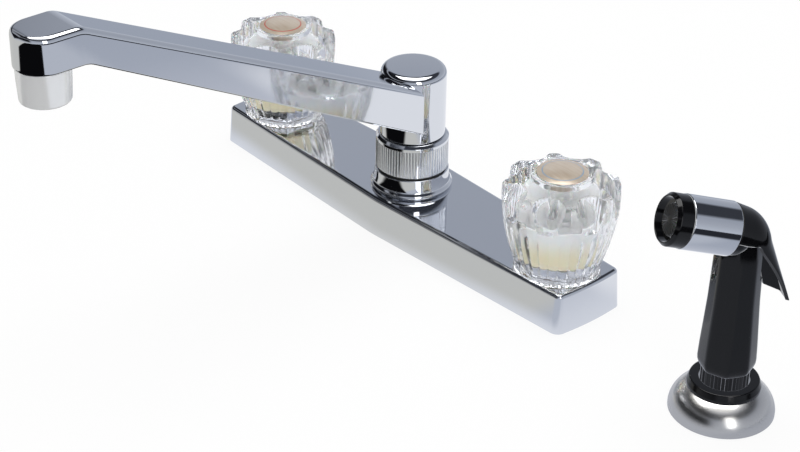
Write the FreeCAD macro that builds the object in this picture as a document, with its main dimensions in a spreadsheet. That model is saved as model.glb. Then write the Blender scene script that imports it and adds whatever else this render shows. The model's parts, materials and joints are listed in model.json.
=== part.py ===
"""Two handle kitchen faucet with side spray, in millimetres.

+Z is up, the origin is on the spout's turning axis in the plane of the sink deck, X runs along
the deck plate with the hot side at -X, and -Y is the front, over the bowl.
"""
import FreeCAD, Part
import math
import os
import re
import Sketcher

doc = FreeCAD.newDocument("two_handle_kitchen_faucet")
sheet = doc.addObject("Spreadsheet::Sheet", "Sizes")

# Driving sizes. Heights ending in _z are above the deck, and radii are half of a diameter.
SIZES = {
    # clearances
    "running_gap": 0.05,         # radial play of a shaft in its hole
    "slip_gap": 0.1,             # play between fixed pieces that push together
    "turning_gap": 0.3,          # air between pieces that move past each other
    # deck plate, a drafted hollow shell, widest under the spout
    "plate_end_room": 2.6,       # air between a valve's flange and the plate's end wall
    "plate_middle_width": 52.0,
    "plate_end_width": 42.0,
    "plate_height": 19.8,
    "plate_draft": 1.2,          # how far each wall leans in from bottom to top
    "plate_wall": 1.8,
    "plate_end_bow": 150.0,      # radius of the bowed end wall
    "plate_corner_round": 4.5,
    "plate_waist_half": 3.0,     # half of the rounded stretch at the widest place
    "plate_waist_round": 75.0,
    "plate_top_round": 2.0,
    "gasket_thickness": 1.5,
    "gasket_margin": 0.6,
    "gasket_hole_room": 2.0,     # air round the nipple's hexagon
    # supply valves on 8 inch centres
    "valve_spacing": 203.2,
    "shank_radius": 10.4,        # half inch straight pipe thread, for the supply's nut
    "shank_upper_radius": 10.8,  # plain stretch that the lock nut holds
    "shank_step_z": -22.0,
    "shank_bore": 6.8,
    "shank_length": 52.0,
    "shank_chamfer": 1.2,
    "valve_flange_radius": 18.5,
    "valve_flange_thickness": 3.0,
    "valve_floor_z": 2.5,
    "valve_floor_top_z": 7.0,
    "housing_radius": 13.8,
    "housing_bore": 10.0,
    "housing_top_z": 19.4,
    "neck_radius": 12.6,
    "neck_top_z": 24.5,
    "seat_offset": 4.6,
    "seat_pocket_radius": 4.5,
    "seat_ledge_radius": 3.0,
    "seat_ledge_z": 4.0,
    "seat_radius": 4.3,
    "seat_hole": 2.2,
    "seat_thickness": 2.0,
    "spring_wire": 0.7,
    # quarter turn stem
    "disc_radius": 8.8,
    "disc_thickness": 4.0,
    "port_radius": 3.0,
    "stem_radius": 5.0,
    "stem_shoulder_z": 26.0,
    "spline_radius": 4.3,
    "spline_count": 12,
    "spline_depth": 0.35,
    "stem_top_z": 41.0,
    "stem_ring_z": 19.0,
    "stem_ring_wire": 0.5,
    "stem_bore_depth": 11.0,
    "cartridge_wall": 0.9,
    "bonnet_flats": 27.0,
    "bonnet_top_z": 27.8,
    "bonnet_chamfer": 1.0,
    # acrylic knob
    "knob_bottom_z": 20.4,
    "knob_foot_radius": 20.3,
    "knob_foot_height": 3.2,
    "knob_side_bulge": 95.0,
    "knob_shoulder_radius": 27.0,
    "knob_shoulder_z": 61.6,
    "knob_edge_round": 3.0,
    "knob_top_z": 64.6,
    "knob_crown_radius": 15.4,
    "knob_crown_z": 66.0,
    "knob_disc_radius": 14.3,
    "knob_disc_top_z": 68.4,
    "lobe_count": 8,
    "lobe_phase": 31.5,          # angle from the X axis to the first hollow between lobes
    "lobe_cutter_radius": 9.0,
    "lobe_cutter_place": 28.6,
    "lobe_cut_depth": 16.0,
    "lobe_taper": 16.0,
    "flute_count": 32,
    "flute_width": 2.2,
    "flute_depth": 0.7,
    "flute_top_z": 47.0,
    "core_radius": 17.0,
    "core_bottom_z": 28.2,
    "core_top_z": 47.6,
    "core_web": 2.2,
    "core_rib_count": 8,
    "core_rib_gap": 7.0,
    "core_rib_inner_gap": 3.5,
    "core_wall": 1.6,
    "core_hollow_depth": 9.0,
    "core_boss_radius": 8.0,
    "screw_shank": 2.4,
    "screw_length": 12.0,
    "screw_head_radius": 4.8,
    "screw_head_height": 2.8,
    "button_radius": 11.9,
    "button_edge": 1.6,
    "button_crown": 1.9,
    "button_stub_radius": 5.3,
    "button_stub_length": 6.0,
    # copper tubes from the valves to the middle
    "tube_radius": 4.76,
    "tube_bore": 3.9,
    "tube_z": 10.6,
    "tube_end_inset": 0.3,
    # brass hub that the spout turns on
    "hub_radius": 15.0,
    "hub_flange_radius": 19.0,
    "hub_flange_thickness": 3.0,
    "hub_thread_top_z": 37.5,
    "post_radius": 9.7,
    "post_top_z": 60.0,
    "hub_way": 4.5,
    "diverter_bore": 6.0,
    "diverter_seat_z": 43.7,
    "hub_socket_radius": 6.6,
    "hub_socket_top_z": 5.6,
    "seal_ring_wire": 0.8,
    "seal_ring_low_z": 44.0,
    "seal_ring_high_z": 56.0,
    "diverter_head": 4.0,
    "diverter_stem_radius": 3.0,
    "diverter_stem_length": 10.0,
    "cap_thickness": 3.0,
    "cap_hole": 3.6,
    "nipple_radius": 6.35,
    "nipple_bore": 3.2,
    "nipple_length": 34.0,
    "nipple_hex_flats": 17.0,
    "nipple_hex_height": 6.0,
    "nipple_root_radius": 6.5,
    # chromed foot, dark ring and ribbed nut below the spout
    "foot_radius": 20.4,
    "foot_bead": 1.3,            # radius of the rolled bead at its base
    "foot_waist_radius": 18.6,
    "foot_top_radius": 18.2,
    "foot_top_z": 29.6,
    "friction_ring_radius": 16.9,
    "friction_ring_thickness": 0.9,
    "nut_radius": 17.4,
    "nut_rib_height": 0.5,
    "nut_rib_count": 72,
    "nut_rib_width": 0.9,
    "nut_rib_crest": 0.45,
    "nut_rib_top_z": 45.4,
    "nut_rim_top_z": 46.6,
    "nut_top_z": 48.2,
    "nut_top_radius": 16.7,
    "nut_lip_z": 44.6,
    # spout: upright column, rising bar of constant width and level head
    "column_radius": 16.0,
    "column_top_z": 83.8,
    "column_round": 4.0,
    "skirt_radius": 13.6,
    "skirt_flange_radius": 14.6,
    "skirt_flange_thickness": 3.2,
    "column_bore": 10.2,
    "column_bore_top_z": 68.0,
    "bar_width": 29.6,           # at the column; it narrows evenly to the head's width
    "bar_foot_z": 50.2,
    "bar_crest_z": 74.1,
    "bar_wall": 3.0,
    "spout_reach": 202.5,
    "head_front_margin": 12.3,
    "head_width": 24.8,
    "head_top_z": 163.0,
    "head_bottom_z": 146.1,
    "head_top_bend": 190.4,
    "head_bottom_bend": 187.9,
    "head_corner_round": 12.0,
    "head_bend_round": 10.0,
    "head_edge_round": 3.0,
    # aerator
    "aerator_top_radius": 11.7,
    "aerator_bottom_radius": 11.0,
    "aerator_bottom_z": 130.3,
    "aerator_chamfer": 0.9,
    "aerator_bore": 9.2,
    "aerator_mouth": 8.5,
    "aerator_lip": 2.4,
    "aerator_thread_radius": 10.0,
    "aerator_thread_length": 6.0,
    "aerator_washer": 1.6,
    "aerator_washer_bore": 8.2,
    "screen_thickness": 1.4,
    "screen_hole": 0.8,
    "screen_hole_count": 12,
    "screen_ring": 5.6,
    # fastening below the deck
    "deck_thickness": 10.0,
    "deck_washer_radius": 19.0,
    "deck_washer_thickness": 2.0,
    "lock_nut_flats": 32.0,
    "lock_nut_height": 8.0,
    # side spray holder, right of the cold handle and a little forward
    "holder_x": 209.0,
    "holder_y": -6.0,
    "holder_turn": 27.0,         # how far the spray looks to the left of straight ahead
    "dome_radius": 23.0,
    "dome_edge": 2.2,
    "dome_height": 12.4,
    "dome_top_radius": 14.6,
    "dome_arc": 12.5,
    "dome_wall": 1.4,
    "guide_collar_radius": 16.0,
    "guide_collar_top": 15.0,
    "guide_collar_height": 4.2,
    "guide_shank_radius": 12.6,
    "guide_shank_length": 42.0,
    "guide_mouth": 10.9,
    "guide_mouth_depth": 8.5,
    "guide_bore": 9.1,
    "guide_nut_flats": 34.0,
    "guide_nut_height": 7.0,
    # spray coupling with its ribbed neck and the hose tail
    "coupling_radius": 10.0,
    "coupling_rib": 0.5,
    "coupling_rib_count": 20,
    "coupling_rib_width": 1.3,
    "coupling_tail_radius": 8.4,
    "coupling_tail_length": 10.0,
    "coupling_socket": 6.4,
    "hose_tail_radius": 6.2,
    "hose_tail_bore": 3.0,
    "hose_tail_length": 14.0,
    # spray handle with eight long facets
    "grip_bottom_z": 22.6,
    "grip_bottom_radius": 11.0,
    "grip_wide_z": 27.0,
    "grip_wide_radius": 12.7,
    "grip_middle_z": 56.0,
    "grip_middle_radius": 11.1,
    "grip_upper_z": 78.0,
    "grip_upper_radius": 10.4,
    "grip_top_z": 88.5,
    "grip_top_radius": 8.8,
    "grip_bore": 4.2,
    "grip_way_roof": 2.0,        # the upright way ends this far below the head's axis
    "head_way_start": 2.0,
    "grip_slot_width": 4.2,
    "grip_slot_depth": 5.3,
    "grip_slot_bottom_z": 52.0,
    # spray head
    "head_axis_z": 89.0,
    "head_tilt": 16.0,
    "sleeve_radius": 11.5,
    "sleeve_wall": 1.4,
    "sleeve_start": 6.0,
    "sleeve_length": 21.8,
    "barrel_rear": 1.0,
    "barrel_rear_radius": 7.4,
    "barrel_nose_radius": 8.0,
    "shoulder_radius": 11.0,     # the disc of the grip that the sleeve's rear rim meets
    "shoulder_length": 5.4,
    "barrel_nose_length": 2.0,
    "nozzle_radius": 11.2,
    "nozzle_length": 7.4,
    "nozzle_lip": 9.5,
    "nozzle_recess": 3.2,
    "nozzle_web": 1.4,
    "nozzle_hole": 7.1,
    "nozzle_edge_round": 1.6,
    "insert_groove_count": 24,
    "insert_groove_width": 0.5,
    "insert_groove_depth": 0.8,
    "insert_hub_radius": 1.8,
    # thumb lever
    "pivot_y": 3.4,
    "pivot_z": 91.4,
    "pivot_boss_radius": 2.5,
    "pin_radius": 1.2,
    "pin_length": 13.0,
    "lever_width": 20.0,
    "lever_tip_width": 13.0,
    "lever_skin": 2.2,
    "lever_front_y": -2.1,
    "lever_front_z": 101.2,
    "lever_crest_y": 2.6,
    "lever_crest_z": 98.6,
    "lever_bend_y": 12.2,
    "lever_bend_z": 86.0,
    "lever_arc": 17.0,
    "lever_tip_y": 22.6,
    "lever_tip_z": 56.8,
    "web_width": 3.0,
    "web_foot_y": 11.8,
    "web_foot_z": 62.5,
    "web_knee_y": 7.9,
    "web_knee_z": 77.5,
    "knuckle_radius": 2.4,
    "lever_clear_y": 30.0,       # behind everything that the lever's pockets cut
    "thumb_recess_y": 7.9,
    "thumb_recess_top_z": 106.0,
    "thumb_recess_bottom_z": 67.0,
    # spray valve
    "plunger_radius": 1.5,
    "plunger_play": 0.8,         # between the lever's web and the plunger at rest
    "return_spring_end": 3.7,
    "plunger_head_radius": 2.3,
    "plunger_head_length": 1.2,
    "plunger_seal": 0.8,
    "return_spring_radius": 1.7,
}
for row, (alias, size) in enumerate(SIZES.items(), start=1):
    sheet.set("A%d" % row, alias)
    sheet.set("B%d" % row, str(size))
    sheet.setAlias("B%d" % row, alias)
doc.recompute()

SUB_PARTS = []
CIRCLE = 360
PLATE_BANDS = 4                  # narrow bands in the plate's rounded top edge
FLUTE_SPANS = 3                  # straight stretches of a flute along the knob's curved side
EDGE_SLACK = 0.5                 # how far a bent edge may lie from the place it is looked for


# ---- helpers -------------------------------------------------------------------------------

def bind(formula):
    """The formula with every size name pointing at the sheet; every size name has an underscore."""
    return re.sub(r"\b[a-z]+_[a-z_]+\b", lambda found: "Sizes." + found.group(0), str(formula))


def value(formula):
    """The number that a formula of size names comes to."""
    return float(sheet.evalExpression(bind(formula)))


def new_body(label, x="0", y="0", z="0", turn=None):
    """A body at a bound place, turned by a rotation where one is given."""
    body = doc.addObject("PartDesign::Body", label)
    body.Label = label
    if turn is not None:
        body.Placement.Rotation = turn
    for axis, formula in zip("xyz", (x, y, z)):
        if formula != "0":
            body.setExpression("Placement.Base." + axis, bind(formula))
    SUB_PARTS.append(body)
    return body


def origin_part(body, role):
    return next(part for part in body.Origin.OriginFeatures if part.Role == role)


def new_sketch(body, name, plane="XY_Plane", lift=None):
    sketch = body.newObject("Sketcher::SketchObject", body.Label + "_" + name)
    sketch.AttachmentSupport = [(origin_part(body, plane), "")]
    sketch.MapMode = "FlatFace"
    if lift is not None:
        sketch.setExpression("AttachmentOffset.Base.z", bind(lift))
        doc.recompute()
    return sketch


def hold_point(sketch, edge, corner, x, y):
    """Tie a corner to its two bound coordinates; a coordinate of 0 puts it on the axis."""
    for kind, formula, axis in (("DistanceX", x, -2), ("DistanceY", y, -1)):
        number = value(formula)
        if formula == "0":
            sketch.addConstraint(Sketcher.Constraint("PointOnObject", edge, corner, axis))
        else:
            index = sketch.addConstraint(Sketcher.Constraint(kind, edge, corner, number))
            sketch.setExpression("Constraints[%d]" % index, bind(formula))


def arc_between(start, end, radius):
    """The arc from start to end; a positive radius bulges to the right of the way there."""
    middle = (start + end) * 0.5
    chord = end - start
    side = FreeCAD.Vector(-chord.y, chord.x, 0).normalize()
    reach = math.sqrt(radius * radius - chord.Length ** 2 / 4)
    centre = middle + side * math.copysign(reach, radius)
    circle = Part.Circle(centre, FreeCAD.Vector(0, 0, 1), abs(radius))
    angles = [math.atan2(p.y - centre.y, p.x - centre.x) for p in (start, end)]
    if radius < 0:
        angles.reverse()
    return Part.ArcOfCircle(circle, angles[0], angles[1])


def outline(sketch, corners):
    """A closed outline. A corner is (x, y), or (x, y, radius) where an arc leaves it."""
    points = [FreeCAD.Vector(value(c[0]), value(c[1]), 0) for c in corners]
    ends = []
    for k, corner in enumerate(corners):
        start, end = points[k], points[(k + 1) % len(points)]
        if len(corner) == 3:
            edge = sketch.addGeometry(arc_between(start, end, value(corner[2])))
            ends.append((edge, 1, 2) if value(corner[2]) > 0 else (edge, 2, 1))
        else:
            edge = sketch.addGeometry(Part.LineSegment(start, end))
            ends.append((edge, 1, 2))
    for k, corner in enumerate(corners):
        edge, first, last = ends[k]
        after, after_first, _ = ends[(k + 1) % len(ends)]
        sketch.addConstraint(Sketcher.Constraint("Coincident", edge, last, after, after_first))
        hold_point(sketch, edge, first, corner[0], corner[1])
        if len(corner) == 3:
            size = sketch.addConstraint(Sketcher.Constraint("Radius", edge, abs(value(corner[2]))))
            sketch.setExpression("Constraints[%d]" % size, bind("abs(%s)" % corner[2]))


def circle(sketch, x, y, radius):
    place = FreeCAD.Vector(value(x), value(y), 0)
    edge = sketch.addGeometry(Part.Circle(place, FreeCAD.Vector(0, 0, 1), value(radius)))
    hold_point(sketch, edge, 3, x, y)
    size = sketch.addConstraint(Sketcher.Constraint("Radius", edge, value(radius)))
    sketch.setExpression("Constraints[%d]" % size, bind(radius))


def polygon(sketch, sides, flats, phase=0.0):
    """A regular polygon round the sketch's origin, given its width across flats."""
    step = CIRCLE / sides
    corner = "(%s) / (2 * cos(%r))" % (flats, step / 2)
    places = [phase + step * (k + 0.5) for k in range(sides)]
    outline(sketch, [("%s * cos(%r)" % (corner, a), "%s * sin(%r)" % (corner, a)) for a in places])


def revolve(body, corners, name="profile", kind="PartDesign::Revolution"):
    """Turn a profile of (radius, height) corners round the body's Z axis."""
    sketch = new_sketch(body, name, "XZ_Plane")
    outline(sketch, corners)
    solid = body.newObject(kind, body.Label + "_" + name + "_turned")
    solid.Profile = sketch
    solid.ReferenceAxis = (sketch, ["V_Axis"])
    solid.Angle = CIRCLE
    return solid


def extrude(body, sketch, length, kind="PartDesign::Pad", reverse=False):
    solid = body.newObject(kind, sketch.Label + "_run")
    solid.Profile = sketch
    solid.setExpression("Length", bind(length))
    solid.Reversed = reverse
    return solid


def loft(body, sketches, name, kind="PartDesign::AdditiveLoft"):
    solid = body.newObject(kind, body.Label + "_" + name)
    solid.Profile = sketches[0]
    solid.Sections = sketches[1:]
    solid.Ruled = True
    return solid


def repeat_round(body, features, count):
    """Repeat features round the body's Z axis."""
    pattern = body.newObject("PartDesign::PolarPattern", body.Label + "_pattern")
    pattern.Originals = features
    pattern.Axis = (origin_part(body, "Z_Axis"), [""])
    pattern.Angle = CIRCLE
    pattern.setExpression("Occurrences", bind(count))
    body.Tip = pattern
    return pattern


def dress_edges(body, name, size, wanted, kind="PartDesign::Fillet"):
    """Round or chamfer the edges that pass the test."""
    doc.recompute()
    base = body.Tip
    picks = ["Edge%d" % n for n, edge in enumerate(base.Shape.Edges, start=1) if wanted(edge)]
    dressed = body.newObject(kind, body.Label + "_" + name)
    dressed.Base = (base, picks)
    dressed.setExpression("Radius" if kind == "PartDesign::Fillet" else "Size", bind(size))
    return dressed


def near(number, formula, slack=0.02):
    return abs(number - value(formula)) < slack


def edge_middle(edge):
    first, last = edge.ParameterRange
    return edge.valueAt((first + last) / 2)


def tube(label, bore, radius, bottom, top, **place):
    """A plain ring between two heights."""
    body = new_body(label, **place)
    revolve(body, [(bore, bottom), (radius, bottom), (radius, top), (bore, top)])
    return body


# ---- deck plate and gasket -----------------------------------------------------------------

PLATE_END = "(valve_spacing / 2 + valve_flange_radius + plate_wall + plate_end_room)"


def plate_outline(sketch, inset):
    """The plate's outline drawn in by an inset: bent front and back, round corners, bowed ends."""
    end = "(%s - (%s))" % (PLATE_END, inset)
    side = "(plate_end_width / 2 - (%s))" % inset
    middle = "(plate_middle_width / 2 - (%s))" % inset
    corner = "(plate_corner_round - (%s))" % inset
    flank = side + " + %s * (plate_middle_width - plate_end_width) / 2 / %s" % (corner, PLATE_END)
    half = [
        ("-" + end + " + " + corner, "-(%s)" % flank),
        ("-plate_waist_half", "-" + middle, "plate_waist_round"),
        ("plate_waist_half", "-" + middle),
        (end + " - " + corner, "-(%s)" % flank, corner),
        (end, corner + " - " + side, "plate_end_bow"),
        (end, side + " - " + corner, corner),
    ]
    outline(sketch, half + [opposite(point) for point in half])


def opposite(corner):
    """The same corner of an outline, half a turn further round."""
    return ("-(%s)" % corner[0], "-(%s)" % corner[1]) + tuple(corner[2:])


def make_deck_plate():
    """Drafted hollow shell; its top round is a run of narrow bands."""
    body = new_body("deck_plate")
    wall_top = "(plate_height - plate_top_round)"
    levels = [("0", "0")]
    for band in range(PLATE_BANDS + 1):
        lean = 90 * band / PLATE_BANDS
        levels.append((
            "plate_draft + plate_top_round * (1 - cos(%r))" % lean,
            wall_top + " + plate_top_round * sin(%r)" % lean,
        ))
    outer = []
    for k, (inset, height) in enumerate(levels):
        sketch = new_sketch(body, "outer_%d" % k, lift=height)
        plate_outline(sketch, inset)
        outer.append(sketch)
    loft(body, outer, "outer")
    inner_low = new_sketch(body, "inner_low")
    plate_outline(inner_low, "plate_wall")
    inner_high = new_sketch(body, "inner_high", lift="plate_height - plate_wall")
    plate_outline(inner_high, "plate_draft + plate_wall")
    loft(body, [inner_low, inner_high], "hollow", "PartDesign::SubtractiveLoft")
    holes = new_sketch(body, "holes", lift="plate_height")
    circle(holes, "0", "0", "hub_radius + turning_gap")
    for side in ("-", ""):
        circle(holes, side + "valve_spacing / 2", "0", "housing_radius + turning_gap")
    extrude(body, holes, "plate_wall * 2", "PartDesign::Pocket")


def make_deck_gasket():
    body = new_body("deck_gasket")
    sketch = new_sketch(body, "outline")
    plate_outline(sketch, "plate_wall + gasket_margin")
    circle(sketch, "0", "0", "nipple_hex_flats / 2 + gasket_hole_room")
    for side in ("-", ""):
        circle(sketch, side + "valve_spacing / 2", "0", "shank_upper_radius + slip_gap")
    extrude(body, sketch, "gasket_thickness")


# ---- supply valves -------------------------------------------------------------------------

def make_valve_body(label, x):
    body = new_body(label, x=x)
    flange_top = "gasket_thickness + valve_flange_thickness"
    revolve(body, [
        ("shank_bore", "-shank_length"),
        ("shank_radius - shank_chamfer", "-shank_length"),
        ("shank_radius", "shank_chamfer - shank_length"),
        ("shank_radius", "shank_step_z"),
        ("shank_upper_radius", "shank_step_z"),
        ("shank_upper_radius", "gasket_thickness"),
        ("valve_flange_radius", "gasket_thickness"),
        ("valve_flange_radius", flange_top),
        ("housing_radius", flange_top),
        ("housing_radius", "housing_top_z"),
        ("neck_radius", "housing_top_z"),
        ("neck_radius", "neck_top_z"),
        ("housing_bore", "neck_top_z"),
        ("housing_bore", "valve_floor_top_z"),
        ("0", "valve_floor_top_z"),
        ("0", "valve_floor_z"),
        ("shank_bore", "valve_floor_z"),
    ])
    pocket = new_sketch(body, "seat_pocket", lift="valve_floor_top_z")
    circle(pocket, "0", "seat_offset", "seat_pocket_radius")
    extrude(body, pocket, "valve_floor_top_z - seat_ledge_z", "PartDesign::Pocket")
    way = new_sketch(body, "seat_way", lift="valve_floor_top_z")
    circle(way, "0", "seat_offset", "seat_ledge_radius")
    extrude(body, way, "valve_floor_top_z - valve_floor_z + slip_gap", "PartDesign::Pocket")
    port = new_sketch(body, "tube_port", "YZ_Plane")
    circle(port, "0", "tube_z", "tube_radius + slip_gap")
    inward = value(x) > 0
    extrude(body, port, "housing_radius + turning_gap", "PartDesign::Pocket", reverse=not inward)


def make_cross_tube(label, sign):
    """Copper tube from a valve's wall to the hub, lying along X."""
    turn = FreeCAD.Rotation(FreeCAD.Vector(0, 1, 0), 90 * sign)
    body = new_body(label, z="tube_z", turn=turn)
    revolve(body, [
        ("tube_bore", "hub_way + tube_end_inset"),
        ("tube_radius", "hub_way + tube_end_inset"),
        ("tube_radius", "valve_spacing / 2 - housing_bore - tube_end_inset"),
        ("tube_bore", "valve_spacing / 2 - housing_bore - tube_end_inset"),
    ])


DISC_BOTTOM = "(valve_floor_top_z + seat_thickness / 2 + running_gap)"
DISC_TOP = "(" + DISC_BOTTOM + " + disc_thickness)"


def make_seat(label, x):
    """Rubber seat that the spring lifts against the disc."""
    tube(label, "seat_hole", "seat_radius", "valve_floor_top_z - seat_thickness / 2",
         "valve_floor_top_z + seat_thickness / 2", x=x, y="seat_offset")


def make_spring_sleeve(label, x):
    """The tapered spring below the seat, drawn as its envelope."""
    body = new_body(label, x=x, y="seat_offset")
    top = "valve_floor_top_z - seat_thickness / 2"
    revolve(body, [
        ("seat_radius - 2 * spring_wire", "seat_ledge_z"),
        ("seat_radius - spring_wire", "seat_ledge_z"),
        ("seat_radius - 2 * spring_wire", top),
        ("seat_radius - 3 * spring_wire", top),
    ])


def make_cartridge(label, x):
    """Sleeve that guides the stem and roofs the disc chamber."""
    body = new_body(label, x=x)
    roof = DISC_TOP + " + turning_gap"
    revolve(body, [
        ("housing_bore - cartridge_wall", "valve_floor_top_z"),
        ("housing_bore - slip_gap", "valve_floor_top_z"),
        ("housing_bore - slip_gap", "neck_top_z"),
        ("stem_radius + running_gap", "neck_top_z"),
        ("stem_radius + running_gap", roof),
        ("housing_bore - cartridge_wall", roof),
    ])


def make_stem(label, x):
    """Quarter turn stem: ported disc, shaft with a ring groove, splined top with a screw hole."""
    body = new_body(label, x=x)
    groove = "stem_radius - 2 * stem_ring_wire"
    revolve(body, [
        ("0", DISC_BOTTOM),
        ("disc_radius", DISC_BOTTOM),
        ("disc_radius", DISC_TOP),
        ("stem_radius", DISC_TOP),
        ("stem_radius", "stem_ring_z - stem_ring_wire"),
        (groove, "stem_ring_z - stem_ring_wire"),
        (groove, "stem_ring_z + stem_ring_wire"),
        ("stem_radius", "stem_ring_z + stem_ring_wire"),
        ("stem_radius", "stem_shoulder_z"),
        ("spline_radius", "stem_shoulder_z"),
        ("spline_radius", "stem_top_z"),
        ("screw_shank", "stem_top_z"),
        ("screw_shank", "stem_top_z - stem_bore_depth"),
        ("0", "stem_top_z - stem_bore_depth"),
    ])
    port = new_sketch(body, "port", lift=DISC_TOP)
    circle(port, "seat_offset", "0", "port_radius")
    extrude(body, port, "disc_thickness + running_gap", "PartDesign::Pocket")
    notch = new_sketch(body, "spline", lift="stem_top_z")
    outline(notch, [
        ("spline_radius - spline_depth", "0"),
        ("spline_radius + spline_depth", "-2 * spline_depth"),
        ("spline_radius + spline_depth", "2 * spline_depth"),
    ])
    cut = extrude(body, notch, "stem_top_z - stem_shoulder_z", "PartDesign::Pocket")
    repeat_round(body, [cut], "spline_count")


def make_ring(label, radius, wire, heights, **place):
    """Rubber rings of round section, one solid at each height."""
    rings = []
    for height in heights:
        ring = doc.addObject("Part::Torus", label + "_ring")
        ring.setExpression("Radius1", bind(radius))
        ring.setExpression("Radius2", bind(wire))
        ring.setExpression("Placement.Base.z", bind(height))
        for axis, formula in place.items():
            ring.setExpression("Placement.Base." + axis, bind(formula))
        rings.append(ring)
    if len(rings) == 1:
        rings[0].Label = label
        SUB_PARTS.append(rings[0])
        return
    group = doc.addObject("Part::Compound", label)
    group.Label = label
    group.Links = rings
    SUB_PARTS.append(group)


def make_bonnet_nut(label, x):
    """Hexagonal nut that holds the cartridge down."""
    body = new_body(label, x=x)
    hexagon = new_sketch(body, "hexagon", lift="plate_height + slip_gap")
    polygon(hexagon, 6, "bonnet_flats")
    circle(hexagon, "0", "0", "stem_radius + turning_gap")
    extrude(body, hexagon, "bonnet_top_z - plate_height - slip_gap")
    thread = new_sketch(body, "thread", lift="plate_height + slip_gap")
    circle(thread, "0", "0", "neck_radius + slip_gap / 2")
    extrude(body, thread, "neck_top_z - plate_height", "PartDesign::Pocket", reverse=True)
    top = "bonnet_top_z"

    def top_edges(edge):
        return near(edge.BoundBox.ZMin, top) and edge_middle(edge).sub(
            FreeCAD.Vector(0, 0, value(top))).Length > value("neck_radius")
    dress_edges(body, "crown", "bonnet_chamfer", top_edges, "PartDesign::Chamfer")


# ---- handles -------------------------------------------------------------------------------

def make_knob(label, x):
    """Clear knob: flared and fluted side, eight lobes on the shoulder, raised disc on top."""
    body = new_body(label, x=x)
    foot_top = "knob_bottom_z + knob_foot_height"
    revolve(body, [
        ("core_radius + slip_gap", "knob_bottom_z"),
        ("knob_foot_radius", "knob_bottom_z"),
        ("knob_foot_radius", foot_top, "knob_side_bulge"),
        ("knob_shoulder_radius", "knob_shoulder_z", "knob_edge_round"),
        ("knob_shoulder_radius - knob_edge_round", "knob_top_z"),
        ("knob_crown_radius", "knob_crown_z"),
        ("knob_disc_radius", "knob_crown_z"),
        ("knob_disc_radius", "knob_disc_top_z"),
        ("button_radius + slip_gap", "knob_disc_top_z"),
        ("button_radius + slip_gap", "knob_disc_top_z - button_edge"),
        ("button_stub_radius + slip_gap", "knob_disc_top_z - button_edge"),
        ("button_stub_radius + slip_gap", "core_top_z"),
        ("core_radius + slip_gap", "core_top_z"),
    ])
    hollow = new_sketch(body, "hollow", lift="knob_crown_z")
    hollow.AttachmentOffset.Rotation = FreeCAD.Rotation(FreeCAD.Vector(0, 0, 1), value("lobe_phase"))
    circle(hollow, "lobe_cutter_place", "0", "lobe_cutter_radius")
    scoop = extrude(body, hollow, "lobe_cut_depth", "PartDesign::Pocket")
    scoop.setExpression("TaperAngle", bind("-lobe_taper"))
    repeat_round(body, [scoop], "lobe_count")
    sections = []
    for k in range(FLUTE_SPANS + 1):
        height = "(%s) + (flute_top_z - (%s)) * %r" % (foot_top, foot_top, k / FLUTE_SPANS)
        section = new_sketch(body, "flute_%d" % k, lift=height)
        flute_outline(section, repr(knob_side_radius(height)))
        sections.append(section)
    flute = loft(body, sections, "flute", "PartDesign::SubtractiveLoft")
    repeat_round(body, [flute], "flute_count")


def knob_side_radius(height):
    """The knob's radius at a height, on the arc of its side."""
    foot = FreeCAD.Vector(value("knob_foot_radius"), value("knob_bottom_z + knob_foot_height"), 0)
    shoulder = FreeCAD.Vector(value("knob_shoulder_radius"), value("knob_shoulder_z"), 0)
    arc = arc_between(foot, shoulder, value("knob_side_bulge"))
    rise = value(height) - arc.Center.y
    return arc.Center.x + math.sqrt(arc.Radius ** 2 - rise ** 2)


def flute_outline(sketch, radius):
    """A shallow V that opens outwards from the side at this radius."""
    outline(sketch, [
        ("%s - flute_depth" % radius, "0"),
        ("%s + 3 * flute_depth" % radius, "-2 * flute_width"),
        ("%s + 3 * flute_depth" % radius, "2 * flute_width"),
    ])


def make_knob_core(label, x):
    """Moulded insert: splined socket for the stem, ribs round it and a seat for the screw."""
    body = new_body(label, x=x)
    web_bottom = "stem_top_z + turning_gap"
    revolve(body, [
        ("spline_radius + running_gap", "core_bottom_z"),
        ("core_radius", "core_bottom_z"),
        ("core_radius", "core_top_z"),
        ("screw_head_radius + turning_gap", "core_top_z"),
        ("screw_head_radius + turning_gap", web_bottom + " + core_web"),
        ("screw_shank + slip_gap", web_bottom + " + core_web"),
        ("screw_shank + slip_gap", web_bottom),
        ("spline_radius + running_gap", web_bottom),
    ])
    cell = new_sketch(body, "cell", lift="core_bottom_z")
    reach = "core_radius - core_wall"
    outline(cell, [
        ("core_boss_radius", "-core_rib_inner_gap / 2"),
        (reach, "-core_rib_gap / 2"),
        (reach, "core_rib_gap / 2"),
        ("core_boss_radius", "core_rib_inner_gap / 2"),
    ])
    cut = extrude(body, cell, "core_hollow_depth", "PartDesign::Pocket", reverse=True)
    repeat_round(body, [cut], "core_rib_count")


def dome_radius(edge_radius, rise):
    """Radius of the ball whose cap has this edge and rise, so that the cap is level at its top."""
    return "%s ^ 2 / (2 * %s) + %s / 2" % (edge_radius, rise, rise)


def make_handle_screw(label, x):
    body = new_body(label, x=x)
    seat = "(stem_top_z + turning_gap + core_web)"
    revolve(body, [
        ("0", seat + " - screw_length"),
        ("screw_shank - running_gap", seat + " - screw_length"),
        ("screw_shank - running_gap", seat),
        ("screw_head_radius", seat),
        ("screw_head_radius", seat + " + screw_head_height / 2",
         dome_radius("screw_head_radius", "(screw_head_height / 2)")),
        ("0", seat + " + screw_head_height"),
    ])


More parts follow.
